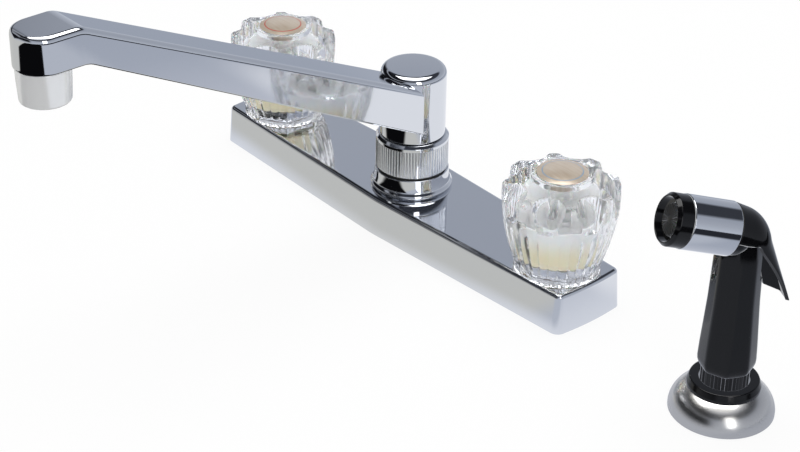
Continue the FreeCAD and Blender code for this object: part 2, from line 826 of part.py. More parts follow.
def make_index_button(label, x):
    """Domed metal button that snaps into the knob's top over the screw."""
    body = new_body(label, x=x)
    seat = "(knob_disc_top_z - button_edge)"
    revolve(body, [
        ("0", seat + " - button_stub_length"),
        ("button_stub_radius", seat + " - button_stub_length"),
        ("button_stub_radius", seat),
        ("button_radius", seat),
        ("button_radius", "knob_disc_top_z", dome_radius("button_radius", "button_crown")),
        ("0", "knob_disc_top_z + button_crown"),
    ])


# ---- hub, foot and nut ---------------------------------------------------------------------

def make_centre_hub():
    body = new_body("centre_hub")
    flange_top = "gasket_thickness + hub_flange_thickness"
    corners = [
        ("hub_socket_radius", "gasket_thickness"),
        ("hub_flange_radius", "gasket_thickness"),
        ("hub_flange_radius", flange_top),
        ("hub_radius", flange_top),
        ("hub_radius", "hub_thread_top_z"),
        ("post_radius", "hub_thread_top_z"),
    ]
    floor = "column_bore - slip_gap - 2 * seal_ring_wire"
    for height in ("seal_ring_low_z", "seal_ring_high_z"):
        corners += [
            ("post_radius", height + " - seal_ring_wire"),
            (floor, height + " - seal_ring_wire"),
            (floor, height + " + seal_ring_wire"),
            ("post_radius", height + " + seal_ring_wire"),
        ]
    corners += [
        ("post_radius", "post_top_z"),
        ("diverter_bore", "post_top_z"),
        ("diverter_bore", "diverter_seat_z"),
        ("hub_way", "diverter_seat_z"),
        ("hub_way", "hub_socket_top_z"),
        ("hub_socket_radius", "hub_socket_top_z"),
    ]
    revolve(body, corners)
    port = new_sketch(body, "tube_ports", "YZ_Plane", lift="-hub_radius - turning_gap")
    circle(port, "0", "tube_z", "tube_radius + slip_gap")
    extrude(body, port, "2 * (hub_radius + turning_gap)", "PartDesign::Pocket", reverse=True)


def make_spout_foot():
    """Chromed foot between the plate and the nut: a rolled bead below a slightly waisted wall."""
    body = new_body("spout_foot")
    bead_top = "plate_height + 2 * foot_bead"
    revolve(body, [
        ("hub_radius + slip_gap", "plate_height"),
        ("foot_radius - foot_bead", "plate_height", "foot_bead"),
        ("foot_radius", "plate_height + foot_bead", "foot_bead"),
        ("foot_radius - foot_bead", bead_top),
        ("foot_waist_radius", bead_top),
        ("foot_top_radius", "foot_top_z"),
        ("hub_radius + slip_gap", "foot_top_z"),
    ])


def make_spout_nut():
    """Ribbed ring nut: threaded below, with a lip that keeps the spout's flange down."""
    body = new_body("spout_nut")
    bottom = "(foot_top_z + friction_ring_thickness)"
    revolve(body, [
        ("hub_radius + slip_gap", bottom),
        ("nut_radius", bottom),
        ("nut_radius", "nut_rib_top_z"),
        ("nut_radius + nut_rib_height", "nut_rib_top_z"),
        ("nut_radius + nut_rib_height", "nut_rim_top_z"),
        ("nut_top_radius", "nut_top_z"),
        ("skirt_radius + turning_gap", "nut_top_z"),
        ("skirt_radius + turning_gap", "nut_lip_z"),
        ("hub_radius + slip_gap", "nut_lip_z"),
    ])
    rib = new_sketch(body, "rib", lift=bottom)
    outline(rib, [
        ("nut_radius - nut_rib_height", "-nut_rib_width / 2"),
        ("nut_radius + nut_rib_height", "-nut_rib_crest / 2"),
        ("nut_radius + nut_rib_height", "nut_rib_crest / 2"),
        ("nut_radius - nut_rib_height", "nut_rib_width / 2"),
    ])
    pad = extrude(body, rib, "nut_rib_top_z - " + bottom)
    repeat_round(body, [pad], "nut_rib_count")


def make_diverter_piston():
    """Piston that slides up in the hub when the spray is closed."""
    body = new_body("diverter_piston")
    bottom = "(diverter_seat_z + slip_gap)"
    revolve(body, [
        ("0", bottom),
        ("diverter_bore - running_gap", bottom),
        ("diverter_bore - running_gap", bottom + " + diverter_head"),
        ("diverter_stem_radius", bottom + " + diverter_head"),
        ("diverter_stem_radius", bottom + " + diverter_head + diverter_stem_length"),
        ("0", bottom + " + diverter_head + diverter_stem_length"),
    ])


def make_spray_outlet():
    """Threaded nipple under the hub, for the side spray's hose."""
    body = new_body("spray_outlet_nipple")
    revolve(body, [
        ("nipple_bore", "-nipple_length"),
        ("nipple_radius", "-nipple_length"),
        ("nipple_radius", "gasket_thickness - nipple_hex_height"),
        ("nipple_root_radius", "gasket_thickness - nipple_hex_height"),
        ("nipple_root_radius", "hub_socket_top_z - slip_gap"),
        ("nipple_bore", "hub_socket_top_z - slip_gap"),
    ])
    hexagon = new_sketch(body, "hexagon", lift="gasket_thickness")
    polygon(hexagon, 6, "nipple_hex_flats")
    circle(hexagon, "0", "0", "nipple_radius - slip_gap")
    extrude(body, hexagon, "nipple_hex_height", reverse=True)


# ---- spout ---------------------------------------------------------------------------------

def bar_profile(sketch, inset):
    """Side view of bar and head, drawn in by an inset; the first coordinate runs along Y."""
    tip = "-(spout_reach + head_front_margin - (%s))" % inset
    outline(sketch, [
        ("0", "bar_foot_z + (%s)" % inset),
        ("0", "bar_crest_z - (%s)" % inset),
        ("-head_top_bend", "head_top_z - (%s)" % inset),
        (tip, "head_top_z - (%s)" % inset),
        (tip, "head_bottom_z + (%s)" % inset),
        ("-head_bottom_bend", "head_bottom_z + (%s)" % inset),
    ])


def bar_plan_cut(sketch):
    """What lies outside the bar's plan: it narrows towards the head, whose end is rounded."""
    tip = "-(spout_reach + head_front_margin)"
    shoulder = tip + " + head_corner_round"
    half = "head_width / 2"
    outline(sketch, [
        ("bar_width / 2", "0"),
        ("bar_width / 2", "column_radius"),
        ("-bar_width / 2", "column_radius"),
        ("-bar_width / 2", "0"),
        ("-" + half, shoulder, "head_corner_round"),
        ("head_corner_round - " + half, tip),
        (half + " - head_corner_round", tip, "head_corner_round"),
        (half, shoulder),
    ])
    outline(sketch, [
        ("bar_width", "bar_width"),
        ("-bar_width", "bar_width"),
        ("-bar_width", tip + " - bar_width"),
        ("bar_width", tip + " - bar_width"),
    ])


def bar_top(y):
    """Height of the bar's and head's top at a place along Y."""
    slope = value("(head_top_z - bar_crest_z) / head_top_bend")
    return min(value("bar_crest_z") - y * slope, value("head_top_z"))


def top_bend_edge(edge):
    box = edge.BoundBox
    return near(box.YMin, "-head_top_bend") and near(box.YMax, "-head_top_bend") and near(
        box.ZMin, "head_top_z")


def top_rim_edge(edge):
    """An edge along the top of bar and head; the ones right across the bar stay sharp."""
    across = edge.BoundBox.XLength > value("head_width") - EDGE_SLACK
    return not across and all(
        abs(point.z - bar_top(point.y)) < EDGE_SLACK for point in edge.discretize(5))


def make_spout():
    """One casting: skirt with flange, column, rising bar and level head, with its waterway."""
    body = new_body("spout")
    skirt_bottom = "(hub_thread_top_z + turning_gap)"
    profile = new_sketch(body, "side", "YZ_Plane", lift="-bar_width / 2")
    bar_profile(profile, "0")
    extrude(body, profile, "bar_width")
    plan = new_sketch(body, "plan", lift="head_top_z + bar_wall")
    bar_plan_cut(plan)
    extrude(body, plan, "head_top_z", "PartDesign::Pocket")
    dress_edges(body, "bend", "head_bend_round", top_bend_edge)
    dress_edges(body, "top_rim", "head_edge_round", top_rim_edge)
    revolve(body, [
        ("0", skirt_bottom),
        ("skirt_flange_radius", skirt_bottom),
        ("skirt_flange_radius", skirt_bottom + " + skirt_flange_thickness"),
        ("skirt_radius", skirt_bottom + " + skirt_flange_thickness"),
        ("skirt_radius", "nut_top_z + turning_gap"),
        ("column_radius", "nut_top_z + turning_gap"),
        ("column_radius", "column_top_z - column_round", "column_round"),
        ("column_radius - column_round", "column_top_z"),
        ("0", "column_top_z"),
    ], "column")
    duct = new_sketch(body, "duct", "YZ_Plane", lift="bar_wall - head_width / 2")
    bar_profile(duct, "bar_wall")
    extrude(body, duct, "head_width - 2 * bar_wall", "PartDesign::Pocket", reverse=True)
    revolve(body, [
        ("0", skirt_bottom),
        ("column_bore", skirt_bottom),
        ("column_bore", "column_bore_top_z"),
        ("0", "column_bore_top_z"),
    ], "bore", "PartDesign::Groove")
    socket = new_sketch(body, "socket", lift="head_bottom_z")
    circle(socket, "0", "-spout_reach", "aerator_thread_radius + slip_gap")
    extrude(body, socket, "aerator_thread_length + aerator_washer", "PartDesign::Pocket",
            reverse=True)


# ---- aerator -------------------------------------------------------------------------------

def make_aerator():
    body = new_body("aerator_housing", y="-spout_reach")
    revolve(body, [
        ("aerator_mouth", "aerator_bottom_z"),
        ("aerator_bottom_radius - aerator_chamfer", "aerator_bottom_z"),
        ("aerator_bottom_radius", "aerator_bottom_z + aerator_chamfer"),
        ("aerator_top_radius", "head_bottom_z - slip_gap"),
        ("aerator_thread_radius", "head_bottom_z - slip_gap"),
        ("aerator_thread_radius", "head_bottom_z + aerator_thread_length"),
        ("aerator_bore", "head_bottom_z + aerator_thread_length"),
        ("aerator_bore", "aerator_bottom_z + aerator_lip"),
        ("aerator_mouth", "aerator_bottom_z + aerator_lip"),
    ])
    screen = new_body("aerator_screen", y="-spout_reach")
    disc = new_sketch(screen, "disc", lift="aerator_bottom_z + aerator_lip")
    circle(disc, "0", "0", "aerator_bore - slip_gap")
    extrude(screen, disc, "screen_thickness")
    hole = new_sketch(screen, "hole", lift="aerator_bottom_z + aerator_lip")
    circle(hole, "screen_ring", "0", "screen_hole")
    cut = extrude(screen, hole, "screen_thickness", "PartDesign::Pocket", reverse=True)
    repeat_round(screen, [cut], "screen_hole_count")
    top = "head_bottom_z + aerator_thread_length"
    tube("aerator_washer", "aerator_washer_bore", "aerator_thread_radius", top,
         top + " + aerator_washer", y="-spout_reach")


# ---- fastening below the deck --------------------------------------------------------------

def pierced(name, blank, height, x, z):
    """The blank with a shank's hole through it, at a bound place."""
    blank.setExpression("Height", bind(height))
    hole = doc.addObject("Part::Cylinder", name + "_hole")
    hole.setExpression("Radius", bind("shank_upper_radius + slip_gap"))
    hole.setExpression("Height", bind(height))
    piece = doc.addObject("Part::Cut", name)
    piece.Base, piece.Tool = blank, hole
    piece.setExpression("Placement.Base.x", bind(x))
    piece.setExpression("Placement.Base.z", bind(z))
    return piece


def make_deck_hardware():
    """Large washer and hexagonal lock nut on each shank, as two groups."""
    washers, nuts = [], []
    washer_z = "(-deck_thickness - deck_washer_thickness)"
    for sign in ("-", ""):
        x = sign + "valve_spacing / 2"
        disc = doc.addObject("Part::Cylinder", "washer_disc")
        disc.setExpression("Radius", bind("deck_washer_radius"))
        washers.append(pierced("washer", disc, "deck_washer_thickness", x, washer_z))
        prism = doc.addObject("Part::Prism", "lock_nut_prism")
        prism.Polygon = 6
        prism.setExpression("Circumradius", bind("lock_nut_flats / (2 * cos(30))"))
        nuts.append(pierced("lock_nut", prism, "lock_nut_height", x,
                            washer_z + " - lock_nut_height"))
    for label, pieces in (("deck_washers", washers), ("deck_lock_nuts", nuts)):
        group = doc.addObject("Part::Compound", label)
        group.Label = label
        group.Links = pieces
        SUB_PARTS.append(group)


# ---- side spray ----------------------------------------------------------------------------

SPRAY_TURN = FreeCAD.Rotation(FreeCAD.Vector(0, 0, 1), -value("holder_turn"))
HEAD_TILT = FreeCAD.Rotation(FreeCAD.Vector(1, 0, 0), 90 - value("head_tilt"))
HEAD_TURN = SPRAY_TURN.multiply(HEAD_TILT)
HOLDER = {"x": "holder_x", "y": "holder_y"}
SLEEVE_END = "(sleeve_start + sleeve_length)"
GUIDE_TOP = "(dome_height + guide_collar_height)"
GUIDE_SHOULDER = "(dome_height + guide_collar_height - guide_mouth_depth)"


def spray_body(label):
    """A body in the spray's own frame: its foot on the holder's axis, looking along -Y."""
    return new_body(label, turn=SPRAY_TURN, **HOLDER)


def head_body(label):
    """A body along the spray head's axis, from the grip's axis to the nozzle."""
    return new_body(label, z="head_axis_z", turn=HEAD_TURN, **HOLDER)


def make_holder():
    dome = new_body("holder_dome", **HOLDER)
    revolve(dome, [
        ("dome_radius - dome_wall", "0"),
        ("dome_radius", "0"),
        ("dome_radius", "dome_edge", "dome_arc"),
        ("dome_top_radius", "dome_height"),
        ("guide_shank_radius + slip_gap", "dome_height"),
        ("guide_shank_radius + slip_gap", "dome_height - dome_wall"),
        ("dome_top_radius", "dome_height - dome_wall", "dome_wall - dome_arc"),
        ("dome_radius - dome_wall", "dome_edge"),
    ])
    guide = new_body("holder_guide", **HOLDER)
    revolve(guide, [
        ("guide_bore", "-guide_shank_length"),
        ("guide_shank_radius", "-guide_shank_length"),
        ("guide_shank_radius", "dome_height"),
        ("guide_collar_radius", "dome_height"),
        ("guide_collar_radius", "dome_height + guide_collar_height / 3"),
        ("guide_collar_top", GUIDE_TOP),
        ("guide_mouth", GUIDE_TOP),
        ("guide_mouth", GUIDE_SHOULDER),
        ("guide_bore", GUIDE_SHOULDER),
    ])
    nut = new_body("holder_nut", **HOLDER)
    sketch = new_sketch(nut, "hexagon", lift="-deck_thickness")
    polygon(sketch, 6, "guide_nut_flats")
    circle(sketch, "0", "0", "guide_shank_radius + slip_gap")
    extrude(nut, sketch, "guide_nut_height", reverse=True)


def make_coupling():
    """Ribbed neck below the grip and the tail that the hose screws onto."""
    body = spray_body("spray_coupling")
    shoulder = "(" + GUIDE_SHOULDER + " + turning_gap)"
    revolve(body, [
        ("coupling_socket", shoulder + " - coupling_tail_length"),
        ("coupling_tail_radius", shoulder + " - coupling_tail_length"),
        ("coupling_tail_radius", shoulder),
        ("coupling_radius", shoulder),
        ("coupling_radius", "grip_bottom_z"),
        ("grip_bore", "grip_bottom_z"),
        ("grip_bore", shoulder),
        ("coupling_socket", shoulder),
    ])
    rib = new_sketch(body, "rib", lift=shoulder)
    outline(rib, [
        ("coupling_radius - coupling_rib", "-coupling_rib_width / 2"),
        ("coupling_radius + coupling_rib", "-coupling_rib_width / 2"),
        ("coupling_radius + coupling_rib", "coupling_rib_width / 2"),
        ("coupling_radius - coupling_rib", "coupling_rib_width / 2"),
    ])
    pad = extrude(body, rib, "grip_bottom_z - " + shoulder)
    repeat_round(body, [pad], "coupling_rib_count")
    top = shoulder + " - slip_gap"
    tube("hose_tail", "hose_tail_bore", "hose_tail_radius", top + " - hose_tail_length", top,
         **HOLDER)


def octagon(body, name, height, radius):
    sketch = new_sketch(body, name, lift=height)
    polygon(sketch, 8, "2 * (%s) * cos(22.5)" % radius)
    return sketch


def side_plate(body, name, corners, width, kind):
    """A piece of the given width whose side view is drawn in Y and Z."""
    sketch = new_sketch(body, name, "YZ_Plane", lift="-(%s) / 2" % width)
    outline(sketch, corners)
    return extrude(body, sketch, width, kind, reverse=kind == "PartDesign::Pocket")


def along_head(body, name, start, length, radius, kind):
    """A cylinder on the spray head's axis, added to or cut from a body in the spray's frame."""
    solid = body.newObject(kind, body.Label + "_" + name)
    solid.setExpression("Radius", bind(radius))
    solid.setExpression("Height", bind(length))
    solid.Placement.Rotation = HEAD_TILT
    solid.setExpression("Placement.Base.y", bind("-(%s) * cos(head_tilt)" % start))
    solid.setExpression("Placement.Base.z", bind("head_axis_z + (%s) * sin(head_tilt)" % start))
    return solid


def make_grip():
    """Grip and head barrel in one moulding: eight facets, water way, lever slot and recess."""
    body = spray_body("spray_grip")
    sections = [
        octagon(body, "bottom", "grip_bottom_z", "grip_bottom_radius"),
        octagon(body, "wide", "grip_wide_z", "grip_wide_radius"),
        octagon(body, "middle", "grip_middle_z", "grip_middle_radius"),
        octagon(body, "upper", "grip_upper_z", "grip_upper_radius"),
        octagon(body, "top", "grip_top_z", "grip_top_radius"),
    ]
    loft(body, sections, "facets")
    add, cut = "PartDesign::AdditiveCylinder", "PartDesign::SubtractiveCylinder"
    along_head(body, "sleeve_seat", "sleeve_start - slip_gap", "sleeve_length",
               "sleeve_radius + slip_gap", cut)
    along_head(body, "shoulder", "sleeve_start - slip_gap - shoulder_length", "shoulder_length",
               "shoulder_radius", add)
    side_plate(body, "hood_recess", [
        ("lever_front_y - turning_gap", "lever_front_z - lever_skin - turning_gap"),
        ("lever_crest_y - lever_skin / 4", "lever_crest_z - lever_skin - turning_gap"),
        ("lever_bend_y - lever_skin", "lever_bend_z - lever_skin / 4 - turning_gap"),
        ("lever_clear_y", "lever_bend_z"),
        ("lever_clear_y", "thumb_recess_top_z"),
        ("lever_front_y - turning_gap", "thumb_recess_top_z"),
    ], "2 * shoulder_radius + turning_gap", "PartDesign::Pocket")
    along_head(body, "rear", "-barrel_rear", "barrel_rear + sleeve_start", "barrel_rear_radius", add)
    along_head(body, "barrel", "sleeve_start", "sleeve_length - turning_gap",
               "sleeve_radius - sleeve_wall - slip_gap", add)
    along_head(body, "nose", SLEEVE_END + " - turning_gap", "barrel_nose_length",
               "barrel_nose_radius", add)
    boss = new_sketch(body, "pivot_boss", "YZ_Plane", lift="-pin_length / 2")
    circle(boss, "pivot_y", "pivot_z", "pivot_boss_radius")
    extrude(body, boss, "pin_length")
    side_plate(body, "thumb_recess", [
        ("thumb_recess_y", "thumb_recess_bottom_z"),
        ("lever_clear_y", "thumb_recess_bottom_z"),
        ("lever_clear_y", "thumb_recess_top_z"),
        ("thumb_recess_y", "thumb_recess_top_z"),
    ], "lever_width + 4 * turning_gap", "PartDesign::Pocket")
    side_plate(body, "slot", [
        ("grip_slot_depth", "grip_slot_bottom_z"),
        ("lever_clear_y", "grip_slot_bottom_z"),
        ("lever_clear_y", "thumb_recess_top_z"),
        ("pivot_y - knuckle_radius - turning_gap", "thumb_recess_top_z"),
        ("pivot_y - knuckle_radius - turning_gap", "pivot_z - knuckle_radius - turning_gap"),
        ("grip_slot_depth", "pivot_z - knuckle_radius - turning_gap"),
    ], "grip_slot_width", "PartDesign::Pocket")
    way = new_sketch(body, "water_way", lift="grip_bottom_z")
    circle(way, "0", "0", "grip_bore")
    extrude(body, way, "head_axis_z - grip_way_roof - grip_bottom_z", "PartDesign::Pocket",
            reverse=True)
    along_head(body, "head_way", "head_way_start", SLEEVE_END, "grip_bore", cut)
    guide = new_sketch(body, "plunger_guide", "XZ_Plane")
    circle(guide, "0", "web_knee_z", "plunger_radius + running_gap")
    extrude(body, guide, "thumb_recess_y + turning_gap", "PartDesign::Pocket")
    pin = new_sketch(body, "pin_hole", "YZ_Plane", lift="-pin_length / 2")
    circle(pin, "pivot_y", "pivot_z", "pin_radius")
    extrude(body, pin, "pin_length", "PartDesign::Pocket", reverse=True)


def make_spray_head():
    sleeve = head_body("head_sleeve")
    revolve(sleeve, [
        ("sleeve_radius - sleeve_wall", "sleeve_start"),
        ("sleeve_radius", "sleeve_start"),
        ("sleeve_radius", SLEEVE_END),
        ("sleeve_radius - sleeve_wall", SLEEVE_END),
    ])
    start = "(" + SLEEVE_END + " + slip_gap)"
    face = start + " + nozzle_length"
    web_front = face + " - nozzle_recess"
    ring = head_body("nozzle_ring")
    revolve(ring, [
        ("barrel_nose_radius + slip_gap", start),
        ("nozzle_radius", start),
        ("nozzle_radius", face + " - nozzle_edge_round"),
        ("nozzle_radius - nozzle_edge_round", face),
        ("nozzle_lip", face),
        ("nozzle_lip", web_front),
        ("nozzle_hole", web_front),
        ("nozzle_hole", web_front + " - nozzle_web"),
        ("barrel_nose_radius + slip_gap", web_front + " - nozzle_web"),
    ])
    insert = head_body("nozzle_insert")
    nose = web_front + " + nozzle_web"
    revolve(insert, [
        ("0", start + " + barrel_nose_length"),
        ("nozzle_hole - slip_gap", start + " + barrel_nose_length"),
        ("nozzle_hole - slip_gap", nose),
        ("0", nose),
    ])
    groove = new_sketch(insert, "groove", lift=nose)
    outline(groove, [
        ("insert_hub_radius", "-insert_groove_width / 2"),
        ("nozzle_hole", "-insert_groove_width / 2"),
        ("nozzle_hole", "insert_groove_width / 2"),
        ("insert_hub_radius", "insert_groove_width / 2"),
    ])
    cut = extrude(insert, groove, "insert_groove_depth", "PartDesign::Pocket")
    repeat_round(insert, [cut], "insert_groove_count")


def make_lever():
    """Thumb lever: curved skin over the head's rear, with a web that turns on the pin."""
    body = spray_body("spray_lever")
    side_plate(body, "skin", [
        ("lever_front_y", "lever_front_z"),
        ("lever_front_y", "lever_front_z - lever_skin"),
        ("lever_crest_y - lever_skin / 4", "lever_crest_z - lever_skin", "lever_skin - lever_arc"),
        ("lever_bend_y - lever_skin", "lever_bend_z - lever_skin / 4"),
        ("lever_tip_y - lever_skin", "lever_tip_z"),
        ("lever_tip_y", "lever_tip_z"),
        ("lever_bend_y", "lever_bend_z", "lever_arc"),
        ("lever_crest_y", "lever_crest_z"),
    ], "lever_width", "PartDesign::Pad")
    for side in ("-", ""):
        flank = new_sketch(body, "flank" + side.replace("-", "_left"), "XZ_Plane")
        outline(flank, [
            (side + "lever_width / 2", "lever_crest_z"),
            (side + "lever_width", "lever_crest_z"),
            (side + "lever_width", "lever_tip_z - lever_skin"),
            (side + "lever_tip_width / 2", "lever_tip_z - lever_skin"),
        ])
        extrude(body, flank, "lever_clear_y", "PartDesign::Pocket")
    side_plate(body, "web", [
        ("pivot_y - knuckle_radius", "pivot_z", "knuckle_radius"),
        ("pivot_y", "pivot_z - knuckle_radius"),
        ("web_knee_y", "pivot_z - knuckle_radius"),
        ("web_knee_y", "web_knee_z"),
        ("web_foot_y", "web_foot_z"),
        ("lever_tip_y - lever_skin", "lever_tip_z"),
        ("lever_bend_y - lever_skin / 2", "lever_bend_z"),
        ("lever_crest_y", "lever_crest_z - lever_skin / 2"),
        ("pivot_y - knuckle_radius", "lever_crest_z - lever_skin / 2"),
    ], "web_width", "PartDesign::Pad")
    hole = new_sketch(body, "pin_hole", "YZ_Plane", lift="-web_width")
    circle(hole, "pivot_y", "pivot_z", "pin_radius + running_gap")
    extrude(body, hole, "2 * web_width", "PartDesign::Pocket", reverse=True)


def make_lever_pin():
    turn = SPRAY_TURN.multiply(FreeCAD.Rotation(FreeCAD.Vector(0, 1, 0), 90))
    x = "holder_x - pin_length / 2 * cos(holder_turn) + pivot_y * sin(holder_turn)"
    y = "holder_y + pin_length / 2 * sin(holder_turn) + pivot_y * cos(holder_turn)"
    body = new_body("lever_pin", x=x, y=y, z="pivot_z", turn=turn)
    revolve(body, [("0", "0"), ("pin_radius", "0"), ("pin_radius", "pin_length"),
                   ("0", "pin_length")])


def plunger_body(label):
    """A body along the plunger, whose Z axis points forwards in the spray's frame."""
    turn = SPRAY_TURN.multiply(FreeCAD.Rotation(FreeCAD.Vector(1, 0, 0), 90))
    return new_body(label, z="web_knee_z", turn=turn, **HOLDER)


def make_spray_valve():
    """Plunger pushed by the lever's web, its seal, and the spring that returns them."""
    half = "plunger_head_length / 2"
    plunger = plunger_body("spray_plunger")
    revolve(plunger, [
        ("0", "plunger_play - web_knee_y"),
        ("plunger_radius", "plunger_play - web_knee_y"),
        ("plunger_radius", "-" + half),
        ("plunger_head_radius", "-" + half),
        ("plunger_head_radius", half),
        ("0", half),
    ])
    seal = plunger_body("plunger_seal")
    revolve(seal, [
        ("plunger_radius", "-%s - plunger_seal" % half),
        ("plunger_head_radius", "-%s - plunger_seal" % half),
        ("plunger_head_radius", "-" + half),
        ("plunger_radius", "-" + half),
    ])
    spring = plunger_body("return_spring")
    revolve(spring, [
        ("return_spring_radius - plunger_seal", half),
        ("return_spring_radius", half),
        ("return_spring_radius", "return_spring_end"),
        ("return_spring_radius - plunger_seal", "return_spring_end"),
    ])


# ---- the whole faucet ----------------------------------------------------------------------

make_deck_plate()
make_deck_gasket()
for side, sign in (("hot", -1), ("cold", 1)):
    place_x = "valve_spacing / 2" if sign > 0 else "-valve_spacing / 2"
    make_valve_body(side + "_valve_body", place_x)
    make_cross_tube(side + "_cross_tube", sign)
    make_spring_sleeve(side + "_seat_spring", place_x)
    make_seat(side + "_seat", place_x)
    make_cartridge(side + "_cartridge", place_x)
    make_stem(side + "_stem", place_x)
    make_ring(side + "_stem_ring", "stem_radius - stem_ring_wire", "stem_ring_wire",
              ["stem_ring_z"], x=place_x)
    make_bonnet_nut(side + "_bonnet_nut", place_x)
    make_knob(side + "_knob", place_x)
    make_knob_core(side + "_knob_core", place_x)
    make_handle_screw(side + "_handle_screw", place_x)
    make_index_button(side + "_index_button", place_x)
make_centre_hub()
make_spout_foot()
tube("friction_ring", "hub_radius + slip_gap", "friction_ring_radius", "foot_top_z",
     "foot_top_z + friction_ring_thickness")
make_spout_nut()
make_ring("spout_seal_rings", "column_bore - slip_gap - seal_ring_wire", "seal_ring_wire",
          ["seal_ring_low_z", "seal_ring_high_z"])
make_diverter_piston()
tube("diverter_cap", "cap_hole", "diverter_bore", "post_top_z - cap_thickness", "post_top_z")
make_spray_outlet()
make_spout()
make_aerator()
make_deck_hardware()
make_holder()
make_coupling()
make_grip()
make_spray_head()
make_lever()
make_lever_pin()
make_spray_valve()
doc.recompute()

failed = [item.Label for item in doc.Objects if {"Invalid", "Error"} & set(item.State)]
if failed:
    raise RuntimeError("did not rebuild: " + ", ".join(failed))
os.makedirs("parts", exist_ok=True)
for part in SUB_PARTS:
    if part.Shape.isNull() or not part.Shape.isValid():
        raise RuntimeError(part.Label + " has no valid shape")
    part.Shape.exportStep("parts/%s.step" % part.Label)
    print("%-22s solids %d  volume %10.2f" % (part.Label, len(part.Shape.Solids), part.Shape.Volume))
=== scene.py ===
# %% [markdown]
# # A two handle kitchen faucet with a side spray
# The faucet arrives as a finished engineering model: 54 pieces at their real size, each riding on
# the body that moves it. This lesson dresses that model. Some pieces keep their shape and only get
# a material; the ones a buyer looks at are built again with finer rounds, flutes and ribs.

# %% Load the frame
import json
import math

import bmesh
import bpy
from mathutils import Matrix, Vector

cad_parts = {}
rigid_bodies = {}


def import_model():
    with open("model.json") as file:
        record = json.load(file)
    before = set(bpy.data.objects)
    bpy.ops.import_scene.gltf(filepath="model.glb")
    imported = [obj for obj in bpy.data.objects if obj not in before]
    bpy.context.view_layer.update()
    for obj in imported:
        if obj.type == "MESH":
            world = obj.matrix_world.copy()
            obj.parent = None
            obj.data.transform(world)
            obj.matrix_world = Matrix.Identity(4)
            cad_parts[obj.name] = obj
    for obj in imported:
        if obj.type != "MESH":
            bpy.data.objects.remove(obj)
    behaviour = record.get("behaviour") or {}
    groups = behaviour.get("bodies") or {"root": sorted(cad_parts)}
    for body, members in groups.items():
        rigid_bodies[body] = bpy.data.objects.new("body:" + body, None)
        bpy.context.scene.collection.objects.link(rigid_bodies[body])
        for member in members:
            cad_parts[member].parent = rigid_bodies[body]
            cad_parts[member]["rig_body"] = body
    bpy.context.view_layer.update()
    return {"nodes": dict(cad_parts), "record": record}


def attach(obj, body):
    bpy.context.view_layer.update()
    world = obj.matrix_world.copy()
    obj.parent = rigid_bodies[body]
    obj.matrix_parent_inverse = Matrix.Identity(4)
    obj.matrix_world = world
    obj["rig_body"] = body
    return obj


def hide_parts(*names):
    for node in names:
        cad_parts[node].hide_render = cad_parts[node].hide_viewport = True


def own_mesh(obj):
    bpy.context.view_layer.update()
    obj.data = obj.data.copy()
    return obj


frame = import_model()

MM = 0.001
SLOT_OF = {row["node"]: row["material_slot"] for row in frame["record"]["subparts"]}

# %% [markdown]
# The main sizes are in millimetres, as a maker would write them. Heights are above the sink deck.
# The faucet stands round the Z axis, X runs along the plate and -Y is the front.

# %% Main sizes
HANDLE_X = 101.6
PLATE_TOP = 19.8
SPOUT_REACH = 202.5
SPRAY_X, SPRAY_Y = 209.0, -6.0
SPRAY_TURN = math.radians(-27.0)
HEAD_AXIS_Z = 89.0
HEAD_TILT = math.radians(16.0)
SIDES = {"hot": -HANDLE_X, "cold": HANDLE_X}

# %% [markdown]
# A product shot is taken with a long lens from far away, so the edges stay nearly parallel. The
# camera stands 0.9 m off, in front on the right, and looks down by about 30 degrees. Its slight
# roll is the one of the reference picture.

# %% Camera
def in_scene(name, data):
    """A new object with this data, linked to the scene."""
    thing = bpy.data.objects.new(name, data)
    bpy.context.scene.collection.objects.link(thing)
    return thing


CAMERA_PLACE = Vector((643.6, -580.4, 502.5)) * MM
CAMERA_TARGET = Vector((55.0, -56.0, 40.0)) * MM
CAMERA_ROLL = math.radians(1.07)
lens_data = bpy.data.cameras.new("Camera")
lens_data.sensor_fit = "HORIZONTAL"
lens_data.sensor_width = 36.0
lens_data.lens = 90.1
camera = in_scene("Camera", lens_data)
look = (CAMERA_TARGET - CAMERA_PLACE).to_track_quat("-Z", "Y").to_matrix().to_4x4()
camera.matrix_world = Matrix.Translation(CAMERA_PLACE) @ look @ Matrix.Rotation(CAMERA_ROLL, 4, "Z")
bpy.context.scene.camera = camera
bpy.context.scene.view_settings.view_transform = "Standard"
print("camera distance", round((CAMERA_PLACE - CAMERA_TARGET).length, 3), "m")

# %% [markdown]
# Every material is a small tree of nodes. One function adds a node, sets its options and joins its
# inputs, and another turns the hex colour of a paint chart into the linear numbers that the
# renderer mixes.

# %% Node helpers
def add_node(tree, kind, options=None, **inputs):
    """Add a node. An input is a value, or (node, output) to join."""
    node = tree.nodes.new(kind)
    for option, setting in (options or {}).items():
        setattr(node, option, setting)
    for key, setting in inputs.items():
        name = key.replace("_", " ")
        socket = node.inputs[int(key[1:])] if key[0] == "i" and key[1:].isdigit() else node.inputs[name]
        if isinstance(setting, tuple) and isinstance(setting[0], bpy.types.Node):
            tree.links.new(setting[0].outputs[setting[1]], socket)
        else:
            socket.default_value = setting
    return node


def linear(hex_colour):
    """#rrggbb as linear red, green, blue and a full alpha."""
    parts = [int(hex_colour[k:k + 2], 16) / 255 for k in (1, 3, 5)]
    return [p / 12.92 if p <= 0.04045 else ((p + 0.055) / 1.055) ** 2.4 for p in parts] + [1.0]


